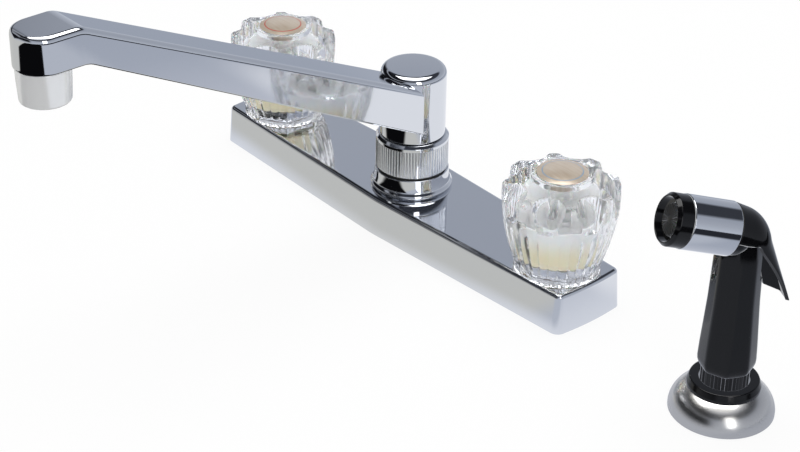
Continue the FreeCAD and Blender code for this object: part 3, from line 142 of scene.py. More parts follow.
def set_ramp(ramp, stops):
    """Give a colour ramp its stops, as (place, hex colour)."""
    elements = ramp.color_ramp.elements
    while len(elements) > 1:
        elements.remove(elements[-1])
    elements[0].position = stops[0][0]
    elements[0].color = linear(stops[0][1])
    for place, colour in stops[1:]:
        elements.new(place).color = linear(colour)


def maths(tree, operation, *values, kind="Math"):
    """A Math or VectorMath node with its values or joins in order."""
    return add_node(tree, "ShaderNode" + kind, {"operation": operation},
                    **{f"i{k}": value for k, value in enumerate(values)})


def mixed(tree, share, first, second):
    """Two colours, mixed by the share of the second one. The colour is output 2."""
    return add_node(tree, "ShaderNodeMix", {"data_type": "RGBA"}, Factor=share, i6=first, i7=second)


def eased(tree, value, start, end):
    """A smooth step that is 0 where the value is start and 1 where it is end, as output 0."""
    return add_node(tree, "ShaderNodeMapRange", {"interpolation_type": "SMOOTHSTEP"},
                    Value=value, From_Min=start, From_Max=end)


def new_material(name):
    """An empty material with its output and shader; the colours go on the shader's own sockets."""
    material = bpy.data.materials.new(name)
    material.use_nodes = True
    tree = material.node_tree
    tree.nodes.clear()
    output = tree.nodes.new("ShaderNodeOutputMaterial")
    shader = tree.nodes.new("ShaderNodeBsdfPrincipled")
    tree.links.new(shader.outputs["BSDF"], output.inputs["Surface"])
    return material, tree, shader


# %% [markdown]
# The studio is a white table below a dark room. Chrome has no colour of its own: what it shows is
# the room. A bright overhead panel draws the white lines on the rounds, a grey-blue wall at the
# back fills the flat tops, and a dark band above that wall draws the thin lines on their far edges.
# The dark room at the front left draws the black lines along the near edges.
# The camera itself sees a white background, by the Light Path node's ray kinds.

# %% World
FRONT_LEFT = (-0.75, -0.66, 0.0)
FRONT_LEFT_EDGE = (0.2, 0.5)
FILL_LIGHT = 0.62
world = bpy.data.worlds.new("studio")
bpy.context.scene.world = world
world.use_nodes = True
sky = world.node_tree
sky.nodes.clear()
sky_output = sky.nodes.new("ShaderNodeOutputWorld")
rays = add_node(sky, "ShaderNodeLightPath")
direction = add_node(sky, "ShaderNodeTexCoord")
split = add_node(sky, "ShaderNodeSeparateXYZ", i0=(direction, "Generated"))
back_wall = add_node(sky, "ShaderNodeValToRGB", Fac=(split, "Z"))
set_ramp(back_wall, [(0.0, "#c3c9d4"), (0.27, "#b2b7c2"), (0.57, "#a4aab6"), (0.64, "#3a3d44"),
                     (0.84, "#3a3d44"), (0.9, "#c9cdd6"), (0.97, "#ffffff")])
dark_room = add_node(sky, "ShaderNodeValToRGB", Fac=(split, "Z"))
set_ramp(dark_room, [(0.0, "#c9cbd0"), (0.12, "#777b84"), (0.2, "#141518"), (0.52, "#141518"),
                     (0.55, "#9a9da5"), (0.59, "#9a9da5"), (0.62, "#141518"), (0.88, "#1d1e22"),
                     (0.95, "#ffffff")])
facing = maths(sky, "DOT_PRODUCT", (direction, "Generated"), FRONT_LEFT, kind="VectorMath")
in_front = eased(sky, (facing, "Value"), *FRONT_LEFT_EDGE)
room = mixed(sky, (in_front, 0), (back_wall, "Color"), (dark_room, "Color"))
soft_fill = add_node(sky, "ShaderNodeBackground", Color=linear("#ffffff"), Strength=FILL_LIGHT)
mirrored = add_node(sky, "ShaderNodeBackground", Color=(room, 2))
backdrop = add_node(sky, "ShaderNodeBackground", Color=linear("#ffffff"))
lit = add_node(sky, "ShaderNodeMixShader", i0=(rays, "Is Glossy Ray"), i1=(soft_fill, 0), i2=(mirrored, 0))
seen = maths(sky, "MAXIMUM", (rays, "Is Camera Ray"), (rays, "Is Transmission Ray"))
whole_sky = add_node(sky, "ShaderNodeMixShader", i0=(seen, 0), i1=(lit, 0), i2=(backdrop, 0))
sky.links.new(whole_sky.outputs[0], sky_output.inputs["Surface"])
print("world nodes", len(sky.nodes))

# %% [markdown]
# The table is a white board. Mirrored rays see painted reflections on it instead of its white: it glows
# in tones for the chrome to mirror, bright near the faucet and behind it, warm along the plate's front,
# grey-blue further out, and dark in front of the spout and far to the right. Each tone has a soft edge, from
# one distance to another.

# %% Table
FLOOR_SIZE = 4.0
FRONT_STRIP, WARM_STRIP_END = (-0.022, -0.036), (0.115, 0.095)
BACK_STRIP, BACK_REACH = (0.018, 0.04), (0.26, 0.17)
DARK_RIGHT = (0.38, 0.46)
DARK_FRONT, DARK_LEFT, DARK_SLANT = (-0.058, -0.076), (-0.22, -0.185), (0.045, 0.07)
WHITE_SHARE = 0.9
floor_mesh = bpy.data.meshes.new("table")
half_floor = FLOOR_SIZE / 2
floor_mesh.from_pydata([(-half_floor, -half_floor, 0), (half_floor, -half_floor, 0),
                        (half_floor, half_floor, 0), (-half_floor, half_floor, 0)], [], [(0, 1, 2, 3)])
table = in_scene("table", floor_mesh)

table_paint = bpy.data.materials.new("white laminate board")
table_paint.use_nodes = True
board = table_paint.node_tree
board.nodes.clear()
board_output = board.nodes.new("ShaderNodeOutputMaterial")
board_rays = add_node(board, "ShaderNodeLightPath")
board_place = add_node(board, "ShaderNodeTexCoord")
board_split = add_node(board, "ShaderNodeSeparateXYZ", i0=(board_place, "Object"))
away = maths(board, "LENGTH", (board_place, "Object"), kind="VectorMath")
# Painted reflection: light near the faucet and grey-blue further out, for the chrome to mirror.
falloff = add_node(board, "ShaderNodeValToRGB", Fac=(away, "Value"))
set_ramp(falloff, [(0.0, "#e6e6e4"), (0.12, "#eceff6"), (0.17, "#cdd1dc"), (0.26, "#b4bac7"),
                   (0.6, "#a4abb9")])


def both(first, second):
    """The product of two nodes' first outputs."""
    return maths(board, "MULTIPLY", (first, 0), (second, 0))


# Painted reflection: a warm strip along the plate's front and a bright patch behind the faucet, for the
# chrome to mirror.
beside = eased(board, (board_split, "X"), *WARM_STRIP_END)
front_board = mixed(board, (beside, 0), linear("#c4c9d4"), linear("#d2d2ce"))
close_front = eased(board, (board_split, "Y"), *FRONT_STRIP)
close_behind = both(eased(board, (board_split, "Y"), *BACK_STRIP), eased(board, (away, "Value"), *BACK_REACH))
back_board = mixed(board, (close_behind, 0), (falloff, "Color"), linear("#f4f6fb"))
near_board = mixed(board, (close_front, 0), (back_board, 2), (front_board, 2))
# Painted reflection: dark far to the right and black in front of the spout, for the chrome to mirror.
far_right = eased(board, (board_split, "X"), *DARK_RIGHT)
lit_board = mixed(board, (far_right, 0), (near_board, 2), linear("#2b2d33"))
slanted = maths(board, "DOT_PRODUCT", (board_place, "Object"), (-1.0, -1.0, 0.0), kind="VectorMath")
before_plate = eased(board, (board_split, "Y"), *DARK_FRONT)
dark_corner = both(before_plate, eased(board, (board_split, "X"), *DARK_LEFT))
to_front = both(dark_corner, eased(board, (slanted, "Value"), *DARK_SLANT))
board_glow = mixed(board, (to_front, 0), (lit_board, 2), linear("#0c0c0e"))
board_diffuse = add_node(board, "ShaderNodeBsdfDiffuse", Color=linear("#ececec"))
board_white = add_node(board, "ShaderNodeEmission", Color=linear("#ffffff"))
# Mirrored rays get the painted reflection tones as a glow of the board.
board_mirrored = add_node(board, "ShaderNodeEmission", Color=(board_glow, 2))
board_seen = maths(board, "MAXIMUM", (board_rays, "Is Camera Ray"), (board_rays, "Is Transmission Ray"))
board_white_share = maths(board, "MULTIPLY", (board_seen, 0), WHITE_SHARE)
board_first = add_node(board, "ShaderNodeMixShader", i0=(board_white_share, 0),
                       i1=(board_diffuse, 0), i2=(board_white, 0))
board_all = add_node(board, "ShaderNodeMixShader", i0=(board_rays, "Is Glossy Ray"),
                     i1=(board_first, 0), i2=(board_mirrored, 0))
board.links.new(board_all.outputs[0], board_output.inputs["Surface"])
table.data.materials.append(table_paint)
print("table", FLOOR_SIZE, "m square")

# %% [markdown]
# Two soft boxes light the faucet: a large one overhead and a smaller one beside the camera, which
# draws the long highlights on the black plastic.

# %% Soft boxes
LIT_POINT = Vector((0.05, -0.05, 0.05))


def soft_box(name, place, size, power):
    """A rectangular lamp, in metres and watts, that faces the faucet."""
    light = bpy.data.lights.new(name, "AREA")
    light.shape = "RECTANGLE"
    light.size, light.size_y = size
    light.energy = power
    lamp = in_scene(name, light)
    aim = (LIT_POINT - Vector(place)).to_track_quat("-Z", "Y")
    lamp.matrix_world = Matrix.Translation(place) @ aim.to_matrix().to_4x4()


soft_box("overhead box", (-0.1, 0.1, 1.2), (1.1, 0.7), 9.0)
soft_box("side box", (1.2, -0.5, 0.6), (0.35, 0.9), 3.0)

# %% [markdown]
# Chrome plate on zinc is polished before plating, so its gloss is high and its surface very
# slightly wavy. The waves are about 9 mm long and the polish varies over about 4 mm.

# %% Chrome
def noise_in_mm(tree, length, detail=2.0):
    """Noise on Object coordinates whose features are about this long, in millimetres."""
    place = add_node(tree, "ShaderNodeTexCoord")
    return add_node(tree, "ShaderNodeTexNoise", Vector=(place, "Object"),
                    Scale=1 / (length * MM), Detail=detail)


def add_bump(tree, shader, height, distance, strength):
    """Bump whose full height is distance, in millimetres."""
    bump = add_node(tree, "ShaderNodeBump", Height=height, Distance=distance * MM, Strength=strength)
    tree.links.new(bump.outputs["Normal"], shader.inputs["Normal"])


def vary_gloss(tree, shader, source, low, high):
    """Roughness between low and high, which follows the first output of a noise."""
    gloss = add_node(tree, "ShaderNodeMapRange", Value=(source, 0), To_Min=low, To_Max=high)
    tree.links.new(gloss.outputs["Result"], shader.inputs["Roughness"])


def polished_metal(name, colour, low, high, wave, wave_height):
    """A polished metal: roughness between low and high, and shallow waves in the surface."""
    material, tree, shader = new_material(name)
    shader.inputs["Base Color"].default_value = linear(colour)
    shader.inputs["Metallic"].default_value = 1.0
    vary_gloss(tree, shader, noise_in_mm(tree, 4.0), low, high)
    add_bump(tree, shader, (noise_in_mm(tree, wave), 0), wave_height, 0.5)
    return material


chrome = polished_metal("polished chrome plate on zinc", "#dfe1e5", 0.03, 0.08, 9.0, 0.02)
print("made", chrome.name)

# %% [markdown]
# The rest is brass, copper, steel, rubber and moulded plastic. Inner pieces get real finishes as
# well, because the model can be taken apart. The aerator's base is whiter than the spout's and only
# partly metallic, so it shows a diffuse white: a painted sheen that stands in for the bright reflections on
# it. The knobs' insert is cream at its foot and paler above.

# %% Other metals, rubber and plastics
CREAM_TOP, PALE_FROM = 33, 46
brass = polished_metal("turned yellow brass", "#c9a45c", 0.18, 0.32, 1.5, 0.01)
copper = polished_metal("drawn copper tube", "#c8795a", 0.2, 0.34, 2.5, 0.01)
steel = polished_metal("plain stainless steel", "#c2c3c4", 0.16, 0.28, 1.2, 0.01)
stainless = polished_metal("spun stainless steel", "#d6d4d1", 0.2, 0.3, 7.0, 0.03)
# Whiter base and only partly metallic: a painted sheen for the aerator's bright reflections.
aerator_chrome = polished_metal("chrome plate on a cast housing", "#f0f1f2", 0.14, 0.24, 5.0, 0.05)
aerator_chrome.node_tree.nodes["Principled BSDF"].inputs["Metallic"].default_value = 0.3


def moulded(name, colour, other, low, high, grain, grain_height, **sockets):
    """A moulded plastic or rubber: two close tones, varied gloss and a fine grain."""
    material, tree, shader = new_material(name)
    cloud = noise_in_mm(tree, 12.0)
    tone = mixed(tree, (cloud, 0), linear(colour), linear(other))
    tree.links.new(tone.outputs[2], shader.inputs["Base Color"])
    vary_gloss(tree, shader, cloud, low, high)
    add_bump(tree, shader, (noise_in_mm(tree, grain), 0), grain_height, 0.5)
    for socket, setting in sockets.items():
        shader.inputs[socket.replace("_", " ")].default_value = setting
    return material


rubber = moulded("black nitrile rubber", "#151515", "#1d1d1c", 0.55, 0.7, 0.6, 0.02, IOR=1.52)
black_abs = moulded("gloss black ABS", "#060607", "#0a0a0c", 0.07, 0.14, 6.0, 0.012,
                    IOR=1.54, Specular_IOR_Level=0.3)
insert_plastic = moulded("satin black ABS", "#0b0b0c", "#101012", 0.3, 0.4, 5.0, 0.012,
                         IOR=1.54, Specular_IOR_Level=0.3)
acetal = moulded("white acetal", "#dedfda", "#e6e6e1", 0.3, 0.42, 0.8, 0.01, IOR=1.48)
cream_nylon = moulded("off-white moulded nylon", "#f5e7bd", "#f8edcb", 0.35, 0.5, 1.0, 0.02, IOR=1.53)
nylon_tree = cream_nylon.node_tree
nylon_shader = nylon_tree.nodes["Principled BSDF"]
nylon_shader.inputs["Subsurface Weight"].default_value = 0.2
nylon_shader.inputs["Subsurface Scale"].default_value = 2 * MM
nylon_place = add_node(nylon_tree, "ShaderNodeTexCoord")
nylon_height = add_node(nylon_tree, "ShaderNodeSeparateXYZ", i0=(nylon_place, "Object"))
paler = eased(nylon_tree, (nylon_height, "Z"), CREAM_TOP * MM, PALE_FROM * MM)
nylon_tone = nylon_shader.inputs["Base Color"].links[0].from_node
nylon_paint = mixed(nylon_tree, (paler, 0), (nylon_tone, 2), linear("#fbfbf8"))
nylon_tree.links.new(nylon_paint.outputs[2], nylon_shader.inputs["Base Color"])
print("moulded materials made")

# %% [markdown]
# The knobs are clear moulded acrylic with a nearly perfectly smooth surface. The real index of
# refraction is 1.49. A slightly lower one, and a small share of light that goes straight through,
# keep the thick walls as clear as they look in a bright kitchen. Shadows pass them altogether.

# %% Clear acrylic
ACRYLIC_IOR, STRAIGHT_SHARE = 1.46, 0.1
acrylic, acrylic_tree, acrylic_shader = new_material("clear moulded acrylic")
acrylic_shader.inputs["Base Color"].default_value = linear("#fdfdfe")
acrylic_shader.inputs["Transmission Weight"].default_value = 1.0
acrylic_shader.inputs["IOR"].default_value = ACRYLIC_IOR
melt = noise_in_mm(acrylic_tree, 6.0)
vary_gloss(acrylic_tree, acrylic_shader, melt, 0.0, 0.03)
acrylic_rays = add_node(acrylic_tree, "ShaderNodeLightPath")
clear_way = add_node(acrylic_tree, "ShaderNodeBsdfTransparent", Color=linear("#f6f8fa"))
passes = maths(acrylic_tree, "MAXIMUM", (acrylic_rays, "Is Shadow Ray"), (acrylic_rays, "Is Diffuse Ray"))
see_through = maths(acrylic_tree, "MAXIMUM", (passes, 0), STRAIGHT_SHARE)
acrylic_mix = add_node(acrylic_tree, "ShaderNodeMixShader", i0=(see_through, 0),
                       i1=(acrylic_shader, 0), i2=(clear_way, 0))
acrylic_tree.links.new(acrylic_mix.outputs[0], acrylic_tree.nodes["Material Output"].inputs["Surface"])
add_bump(acrylic_tree, acrylic_shader, (melt, 0), 0.05, 0.4)

# %% [markdown]
# The index buttons are stamped stainless steel with a warm tint and a fine straight brush, about
# 0.4 mm between lines so that it still shows. A thin plain ring, red or blue, tells hot from cold.

# %% Index buttons
RING_MIDDLE, RING_HALF = 9.3, 0.28
BRUSH_LENGTH, BRUSH_STRETCH = 9, 22
BUTTON_METALLIC = 0.5


def button_metal(name, x, ring_colour):
    """Brushed metal with a thin painted ring round the handle's axis at x."""
    material, tree, shader = new_material(name)
    place = add_node(tree, "ShaderNodeTexCoord")
    centred = add_node(tree, "ShaderNodeMapping", Vector=(place, "Object"), Location=(-x * MM, 0, 0))
    brush_scale = add_node(tree, "ShaderNodeMapping", Vector=(centred, 0), Scale=(1, BRUSH_STRETCH, 1))
    lines = add_node(tree, "ShaderNodeTexNoise", Vector=(brush_scale, 0),
                     Scale=1 / (BRUSH_LENGTH * MM), Detail=3.0)
    flat = maths(tree, "MULTIPLY", (centred, 0), (1, 1, 0), kind="VectorMath")
    out = maths(tree, "LENGTH", (flat, 0), kind="VectorMath")
    from_ring = maths(tree, "SUBTRACT", (out, "Value"), RING_MIDDLE * MM)
    gap = maths(tree, "ABSOLUTE", (from_ring, 0))
    on_ring = maths(tree, "LESS_THAN", (gap, 0), RING_HALF * MM)
    tint = mixed(tree, (lines, 0), linear("#c0a88f"), linear("#ebe2d3"))
    paint = mixed(tree, (on_ring, 0), (tint, 2), linear(ring_colour))
    tree.links.new(paint.outputs[2], shader.inputs["Base Color"])
    metal = maths(tree, "MULTIPLY_ADD", (on_ring, 0), -BUTTON_METALLIC, BUTTON_METALLIC)
    tree.links.new(metal.outputs[0], shader.inputs["Metallic"])
    vary_gloss(tree, shader, lines, 0.2, 0.3)
    add_bump(tree, shader, (lines, 0), 0.012, 0.2)
    return material


button_paint = {"hot": button_metal("brushed button steel, red ring", -HANDLE_X, "#a8473c"),
                "cold": button_metal("brushed button steel, blue ring", HANDLE_X, "#7f93a6")}

# %% [markdown]
# Every CAD node that stays in view or inside gets its finish by its material slot.

# %% Materials on the carried-over nodes
PAINT_OF = {"chrome": chrome, "brass": brass, "copper": copper, "acrylic": acrylic, "nylon": cream_nylon,
            "steel": steel, "button_metal": steel, "rubber": rubber, "black_plastic": black_abs,
            "stainless": stainless, "white_plastic": acetal}
for node_name, node_object in frame["nodes"].items():
    node_object.data.materials.clear()
    node_object.data.materials.append(PAINT_OF[SLOT_OF[node_name]])
print("nodes painted", len(frame["nodes"]))

# %% [markdown]
# Helpers for meshes. `plain` turns the modifiers of an object into its mesh, `smooth` shades it, and
# `stand_for` rides it on the body of the node that it stands for and hides that node. The spray
# and its holder are photographed apart, so the faucet's chrome doesn't mirror them.

# %% Mesh helpers
SHARP = math.radians(35)
SPRAY_BODIES = ("spray", "spray_trigger", "spray_valve")
NOT_MIRRORED = {name for name, node in frame["nodes"].items() if node["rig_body"] in SPRAY_BODIES}
NOT_MIRRORED |= {"holder_dome", "holder_guide"}


def plain(piece):
    """Apply every modifier by taking the evaluated mesh."""
    bpy.context.view_layer.update()
    graph = bpy.context.evaluated_depsgraph_get()
    done = bpy.data.meshes.new_from_object(piece.evaluated_get(graph), preserve_all_data_layers=True,
                                           depsgraph=graph)
    piece.modifiers.clear()
    old = piece.data
    piece.data = done
    done.name = piece.name
    bpy.data.meshes.remove(old)


def new_piece(name, points, faces, material):
    """An object at the origin from points in millimetres, with its faces turned outwards."""
    mesh = bpy.data.meshes.new(name)
    mesh.from_pydata([Vector(p) * MM for p in points], [], faces)
    shape = bmesh.new()
    shape.from_mesh(mesh)
    bmesh.ops.remove_doubles(shape, verts=shape.verts, dist=0.002 * MM)
    bmesh.ops.dissolve_degenerate(shape, edges=shape.edges, dist=0.001 * MM)
    bmesh.ops.recalc_face_normals(shape, faces=shape.faces)
    shape.to_mesh(mesh)
    shape.free()
    mesh.materials.append(material)
    return in_scene(name, mesh)


def smooth(piece, sharp=SHARP):
    """Smooth shading, with creases kept and large flat faces shaded flat."""
    piece.data.shade_smooth()
    piece.data.set_sharp_from_angle(angle=sharp)
    weight = piece.modifiers.new("weight", "WEIGHTED_NORMAL")
    weight.keep_sharp = True
    weight.weight = 80
    plain(piece)


def stand_for(piece, *node_names):
    """Ride with these nodes' body and hide them."""
    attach(piece, frame["nodes"][node_names[0]]["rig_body"])
    piece.visible_glossy = not any(name in NOT_MIRRORED for name in node_names)
    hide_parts(*node_names)
    print("%-24s %6d faces" % (piece.name, len(piece.data.polygons)))


# %% [markdown]
# Most pieces of a faucet are turned on a lathe. `rounded` softens the corners of a profile of
# (radius, height) points, where a third number is the corner's round, and `turned` spins the
# profile. A shape function may move a point in or out, which makes flutes, lobes and threads.

# %% Lathe
ARC_STEPS = 6
TURN_STEPS = 128


def swept(centre, start, end, steps):
    """Points that turn evenly round a centre, from the offset start to the offset end."""
    sweep = start.angle(end)
    shares = [step / steps for step in range(steps + 1)]
    return [centre + (start * math.sin((1 - share) * sweep) + end * math.sin(share * sweep)) / math.sin(sweep)
            for share in shares]


def vectors(*points):
    """Pairs of numbers as vectors."""
    return [Vector(pair) for pair in points]


def rounded(profile):
    """Replace each corner that has a round by an arc that touches both its sides."""
    points = []
    count = len(profile)
    for k, corner in enumerate(profile):
        here = Vector(corner[:2])
        if len(corner) == 2:
            points.append(here)
            continue
        back = (Vector(profile[k - 1][:2]) - here).normalized()
        ahead = (Vector(profile[(k + 1) % count][:2]) - here).normalized()
        half = back.angle(ahead) / 2
        run = corner[2] / math.tan(half)
        middle = here + (back + ahead).normalized() * (corner[2] / math.sin(half))
        points += swept(middle, here + back * run - middle, here + ahead * run - middle, ARC_STEPS)
    return points


def arc_points(start, end, radius, steps):
    """Points from start to end, both included, on an arc that bulges to the right of travel."""
    start, end = Vector(start), Vector(end)
    chord = end - start
    side = Vector((-chord.y, chord.x)).normalized()
    reach = math.copysign(math.sqrt(radius ** 2 - chord.length_squared / 4), radius)
    centre = (start + end) / 2 + side * reach
    return swept(centre, start - centre, end - centre, steps)


def turned(name, profile, material, place=Matrix.Identity(4), steps=TURN_STEPS, shape=None):
    """Spin a closed profile round Z; place then carries the piece to where it belongs."""
    points, rings, faces = [], [], []
    for radius, height in profile:
        if radius < 1e-4:
            rings.append([len(points)] * steps)
            points.append(place @ Vector((0, 0, height)))
            continue
        ring = []
        for step in range(steps):
            angle = 2 * math.pi * step / steps
            out = shape(radius, height, angle) if shape else radius
            ring.append(len(points))
            points.append(place @ Vector((out * math.cos(angle), out * math.sin(angle), height)))
        rings.append(ring)
    for k, ring in enumerate(rings):
        after = rings[(k + 1) % len(rings)]
        for step in range(steps):
            follow = (step + 1) % steps
            corners = []
            for corner in (ring[step], ring[follow], after[follow], after[step]):
                if corner not in corners:
                    corners.append(corner)
            if len(corners) > 2:
                faces.append(corners)
    return new_piece(name, points, faces, material)


def at(x=0.0, y=0.0, z=0.0):
    """The place x, y, z in millimetres, as a matrix."""
    return Matrix.Translation((x, y, z))


# %% [markdown]
# Where the CAD shape is right, a piece is a copy of its node: the loose triangles are merged, flat
# regions are dissolved into single faces, and a small bevel catches the light on every edge.

# %% Dressed copies
def soften_edges(piece, width, angle):
    """Bevel edges sharper than an angle in degrees; the width is in millimetres."""
    bevel = piece.modifiers.new("soften", "BEVEL")
    bevel.width = width * MM
    bevel.segments = 2
    bevel.limit_method = "ANGLE"
    bevel.angle_limit = math.radians(angle)
    plain(piece)


def dressed(node_name, material, bevel):
    """A copy of a node with clean faces and softened edges; the bevel is in millimetres."""
    piece = in_scene(node_name + "_finish", frame["nodes"][node_name].data.copy())
    shape = bmesh.new()
    shape.from_mesh(piece.data)
    bmesh.ops.remove_doubles(shape, verts=shape.verts, dist=0.002 * MM)
    bmesh.ops.dissolve_limit(shape, angle_limit=math.radians(0.6), verts=shape.verts, edges=shape.edges)
    shape.to_mesh(piece.data)
    shape.free()
    piece.data.materials.clear()
    piece.data.materials.append(material)
    soften_edges(piece, bevel, 28)
    smooth(piece)
    return piece


def cut_with(piece, tool, operation="DIFFERENCE"):
    """A boolean with a tool that is then thrown away."""
    cut = piece.modifiers.new("cut", "BOOLEAN")
    cut.object = tool
    cut.operation = operation
    cut.solver = "EXACT"
    plain(piece)
    bpy.data.objects.remove(tool)


# %% [markdown]
# ## The deck plate
# The plate is a pressed and plated shell, 251 mm long and widest under the spout. Its sides lean
# in and its top edge is rounded by 2 mm. The outline is worked out from a few sizes and drawn in a
# little at each level of the round.

# %% Deck plate
PLATE_HALF_LENGTH = 124.5
PLATE_END_HALF, PLATE_MIDDLE_HALF = 21.0, 26.0
PLATE_DRAFT, PLATE_WALL = 1.2, 1.8
PLATE_CORNER, PLATE_TOP_ROUND = 4.5, 2.0
PLATE_END_BOW, PLATE_WAIST, PLATE_WAIST_HALF = 150.0, 75.0, 3.0
TOP_ROUND_STEPS = 10
BELOW_DECK = 1.0


def plate_level(inset, height):
    """The plate's outline at a height, drawn in by an inset: an anticlockwise ring of points."""
    end, side, middle = PLATE_HALF_LENGTH - inset, PLATE_END_HALF - inset, PLATE_MIDDLE_HALF - inset
    corner = PLATE_CORNER - inset
    flank = side + corner * (PLATE_MIDDLE_HALF - PLATE_END_HALF) / PLATE_HALF_LENGTH
    half = arc_points((-PLATE_WAIST_HALF, -middle), (PLATE_WAIST_HALF, -middle), PLATE_WAIST, 6)
    half += arc_points((end - corner, -flank), (end, corner - side), corner, 12)
    half += arc_points((end, corner - side), (end, side - corner), PLATE_END_BOW, 12)[1:-1]
    half += arc_points((end, side - corner), (end - corner, flank), corner, 12)
    return [(p.x, p.y, height) for p in half] + [(-p.x, -p.y, height) for p in half]


levels = [(0.0, 0.0)]
for step in range(TOP_ROUND_STEPS + 1):
    lean = math.pi / 2 * step / TOP_ROUND_STEPS
    levels.append((PLATE_DRAFT + PLATE_TOP_ROUND * (1 - math.cos(lean)),
                   PLATE_TOP - PLATE_TOP_ROUND + PLATE_TOP_ROUND * math.sin(lean)))
outer_rings = [plate_level(inset, height) for inset, height in levels]
inner_rings = [plate_level(PLATE_WALL + PLATE_DRAFT, PLATE_TOP - PLATE_WALL), plate_level(PLATE_WALL, 0.0)]


def stacked(name, rings, material):
    """Join rings of equally many points, and close the first and the last with one face each."""
    count = len(rings[0])
    points = [p for ring in rings for p in ring]
    faces = []
    for base in range(0, (len(rings) - 1) * count, count):
        for step in range(count):
            follow = (step + 1) % count
            faces.append((base + step, base + follow, base + count + follow, base + count + step))
    faces.append(tuple(range(count)))
    faces.append(tuple((len(rings) - 1) * count + step for step in range(count)))
    return new_piece(name, points, faces, material)


plate = stacked("deck_plate_shell", outer_rings, chrome)
opened_rings = [[(x, y, z if z else -BELOW_DECK) for x, y, z in ring] for ring in inner_rings]
cut_with(plate, stacked("plate_hollow", opened_rings, chrome))
for x, radius in ((0.0, 15.3), (-HANDLE_X, 14.1), (HANDLE_X, 14.1)):
    hole = turned("hole", [(0, 10), (radius, 10), (radius, 30), (0, 30)], chrome, at(x))
    cut_with(plate, hole)
smooth(plate, math.radians(30))
stand_for(plate, "deck_plate")

# %% [markdown]
# ## Foot and nut
# The foot under the spout is a turned ring with a rolled lower edge. The nut above it has 72 fine
# ribs for grip. Ribs repeat, so a Geometry Nodes tree places one rib on a circle as often as asked,
# makes the copies real and paints them.

# %% A ring of copies
def ring_tree():
    """Geometry Nodes: the piece itself, joined with copies of a part set round Z."""
    tree = bpy.data.node_groups.new("ring_of_copies", "GeometryNodeTree")
    for socket, kind in (("Geometry", "Geometry"), ("Part", "Object"), ("Copies", "Int"),
                         ("Finish", "Material")):
        tree.interface.new_socket(socket, in_out="INPUT", socket_type="NodeSocket" + kind)
    tree.interface.new_socket("Geometry", in_out="OUTPUT", socket_type="NodeSocketGeometry")
    given = tree.nodes.new("NodeGroupInput")
    result = tree.nodes.new("NodeGroupOutput")
    part = add_node(tree, "GeometryNodeObjectInfo", {"transform_space": "ORIGINAL"}, Object=(given, "Part"))
    points = add_node(tree, "GeometryNodePoints", Count=(given, "Copies"))
    index = add_node(tree, "GeometryNodeInputIndex")
    share = maths(tree, "DIVIDE", (index, 0), (given, "Copies"))
    turn = maths(tree, "MULTIPLY", (share, 0), 2 * math.pi)
    spin = add_node(tree, "ShaderNodeCombineXYZ", Z=(turn, 0))
    copies = add_node(tree, "GeometryNodeInstanceOnPoints", Points=(points, 0), Instance=(part, "Geometry"),
                      Rotation=(spin, 0))
    joined = add_node(tree, "GeometryNodeJoinGeometry")
    tree.links.new(given.outputs["Geometry"], joined.inputs[0])
    tree.links.new(copies.outputs[0], joined.inputs[0])
    real = add_node(tree, "GeometryNodeRealizeInstances", Geometry=(joined, 0))
    painted = add_node(tree, "GeometryNodeSetMaterial", Geometry=(real, 0), Material=(given, "Finish"))
    tree.links.new(painted.outputs[0], result.inputs[0])
    return tree


RING_TREE = ring_tree()


def with_copies(piece, part, copies, place=Matrix.Identity(4)):
    """Join copies of a part round the piece's own Z axis, then carry the whole to its place."""
    modifier = piece.modifiers.new("copies", "NODES")
    modifier.node_group = RING_TREE
    named = {item.name: item.identifier for item in RING_TREE.interface.items_tree if item.in_out == "INPUT"}
    modifier[named["Part"]] = part
    modifier[named["Copies"]] = copies
    modifier[named["Finish"]] = piece.data.materials[0]
    plain(piece)
    bpy.data.objects.remove(part)
    metres = place.copy()
    metres.translation = place.translation * MM
    piece.data.transform(metres)


def bar_part(name, outline_points, bottom, top, material):
    """A straight prism between two heights, as the part that a ring repeats."""
    return stacked(name, [[(x, y, z) for x, y in outline_points] for z in (bottom, top)], material)


# %% Foot and ribbed nut
foot = turned("spout_foot_ring", rounded([
    (15.1, PLATE_TOP), (19.2, PLATE_TOP, 0.8), (20.6, 21.3, 1.2), (19.0, 23.2, 1.5), (18.4, 26.0),
    (18.2, 29.6, 0.4), (15.1, 29.6),
]), chrome)
smooth(foot)
stand_for(foot, "spout_foot")

NUT_BOTTOM, NUT_RIB_TOP, NUT_TOP, NUT_RADIUS, NUT_RIBS = 30.5, 45.2, 48.2, 17.4, 72
nut = turned("spout_nut_body", rounded([
    (15.1, NUT_BOTTOM), (NUT_RADIUS - 0.15, NUT_BOTTOM, 0.3), (NUT_RADIUS - 0.15, NUT_RIB_TOP),
    (17.9, NUT_RIB_TOP, 0.15), (17.9, 46.8, 0.5), (16.7, NUT_TOP, 0.5), (13.9, NUT_TOP), (13.9, 44.6),
    (15.1, 44.6),
]), chrome, steps=144)
smooth(nut)
rib_half = math.pi * NUT_RADIUS / NUT_RIBS * 0.62
rib_side = [(NUT_RADIUS - 0.6, rib_half), (NUT_RADIUS + 0.1, rib_half), (NUT_RADIUS + 0.42, rib_half * 0.5)]
rib_outline = [(out, -across) for out, across in rib_side] + [(NUT_RADIUS + 0.5, 0.0)] + rib_side[::-1]
rib = bar_part("rib", rib_outline, NUT_BOTTOM + 0.5, NUT_RIB_TOP + 0.1, chrome)
smooth(rib, math.radians(50))
with_copies(nut, rib, NUT_RIBS)
stand_for(nut, "spout_nut")

# %% [markdown]
# ## The spout
# Column, rising bar and level head are one casting. The bar is a rounded rectangle carried along
# its side view: straight up the slope, round the bend and level to the tip. It narrows from 30 mm
# at the column to 25 mm at the head, whose plan ends nearly in a half circle.

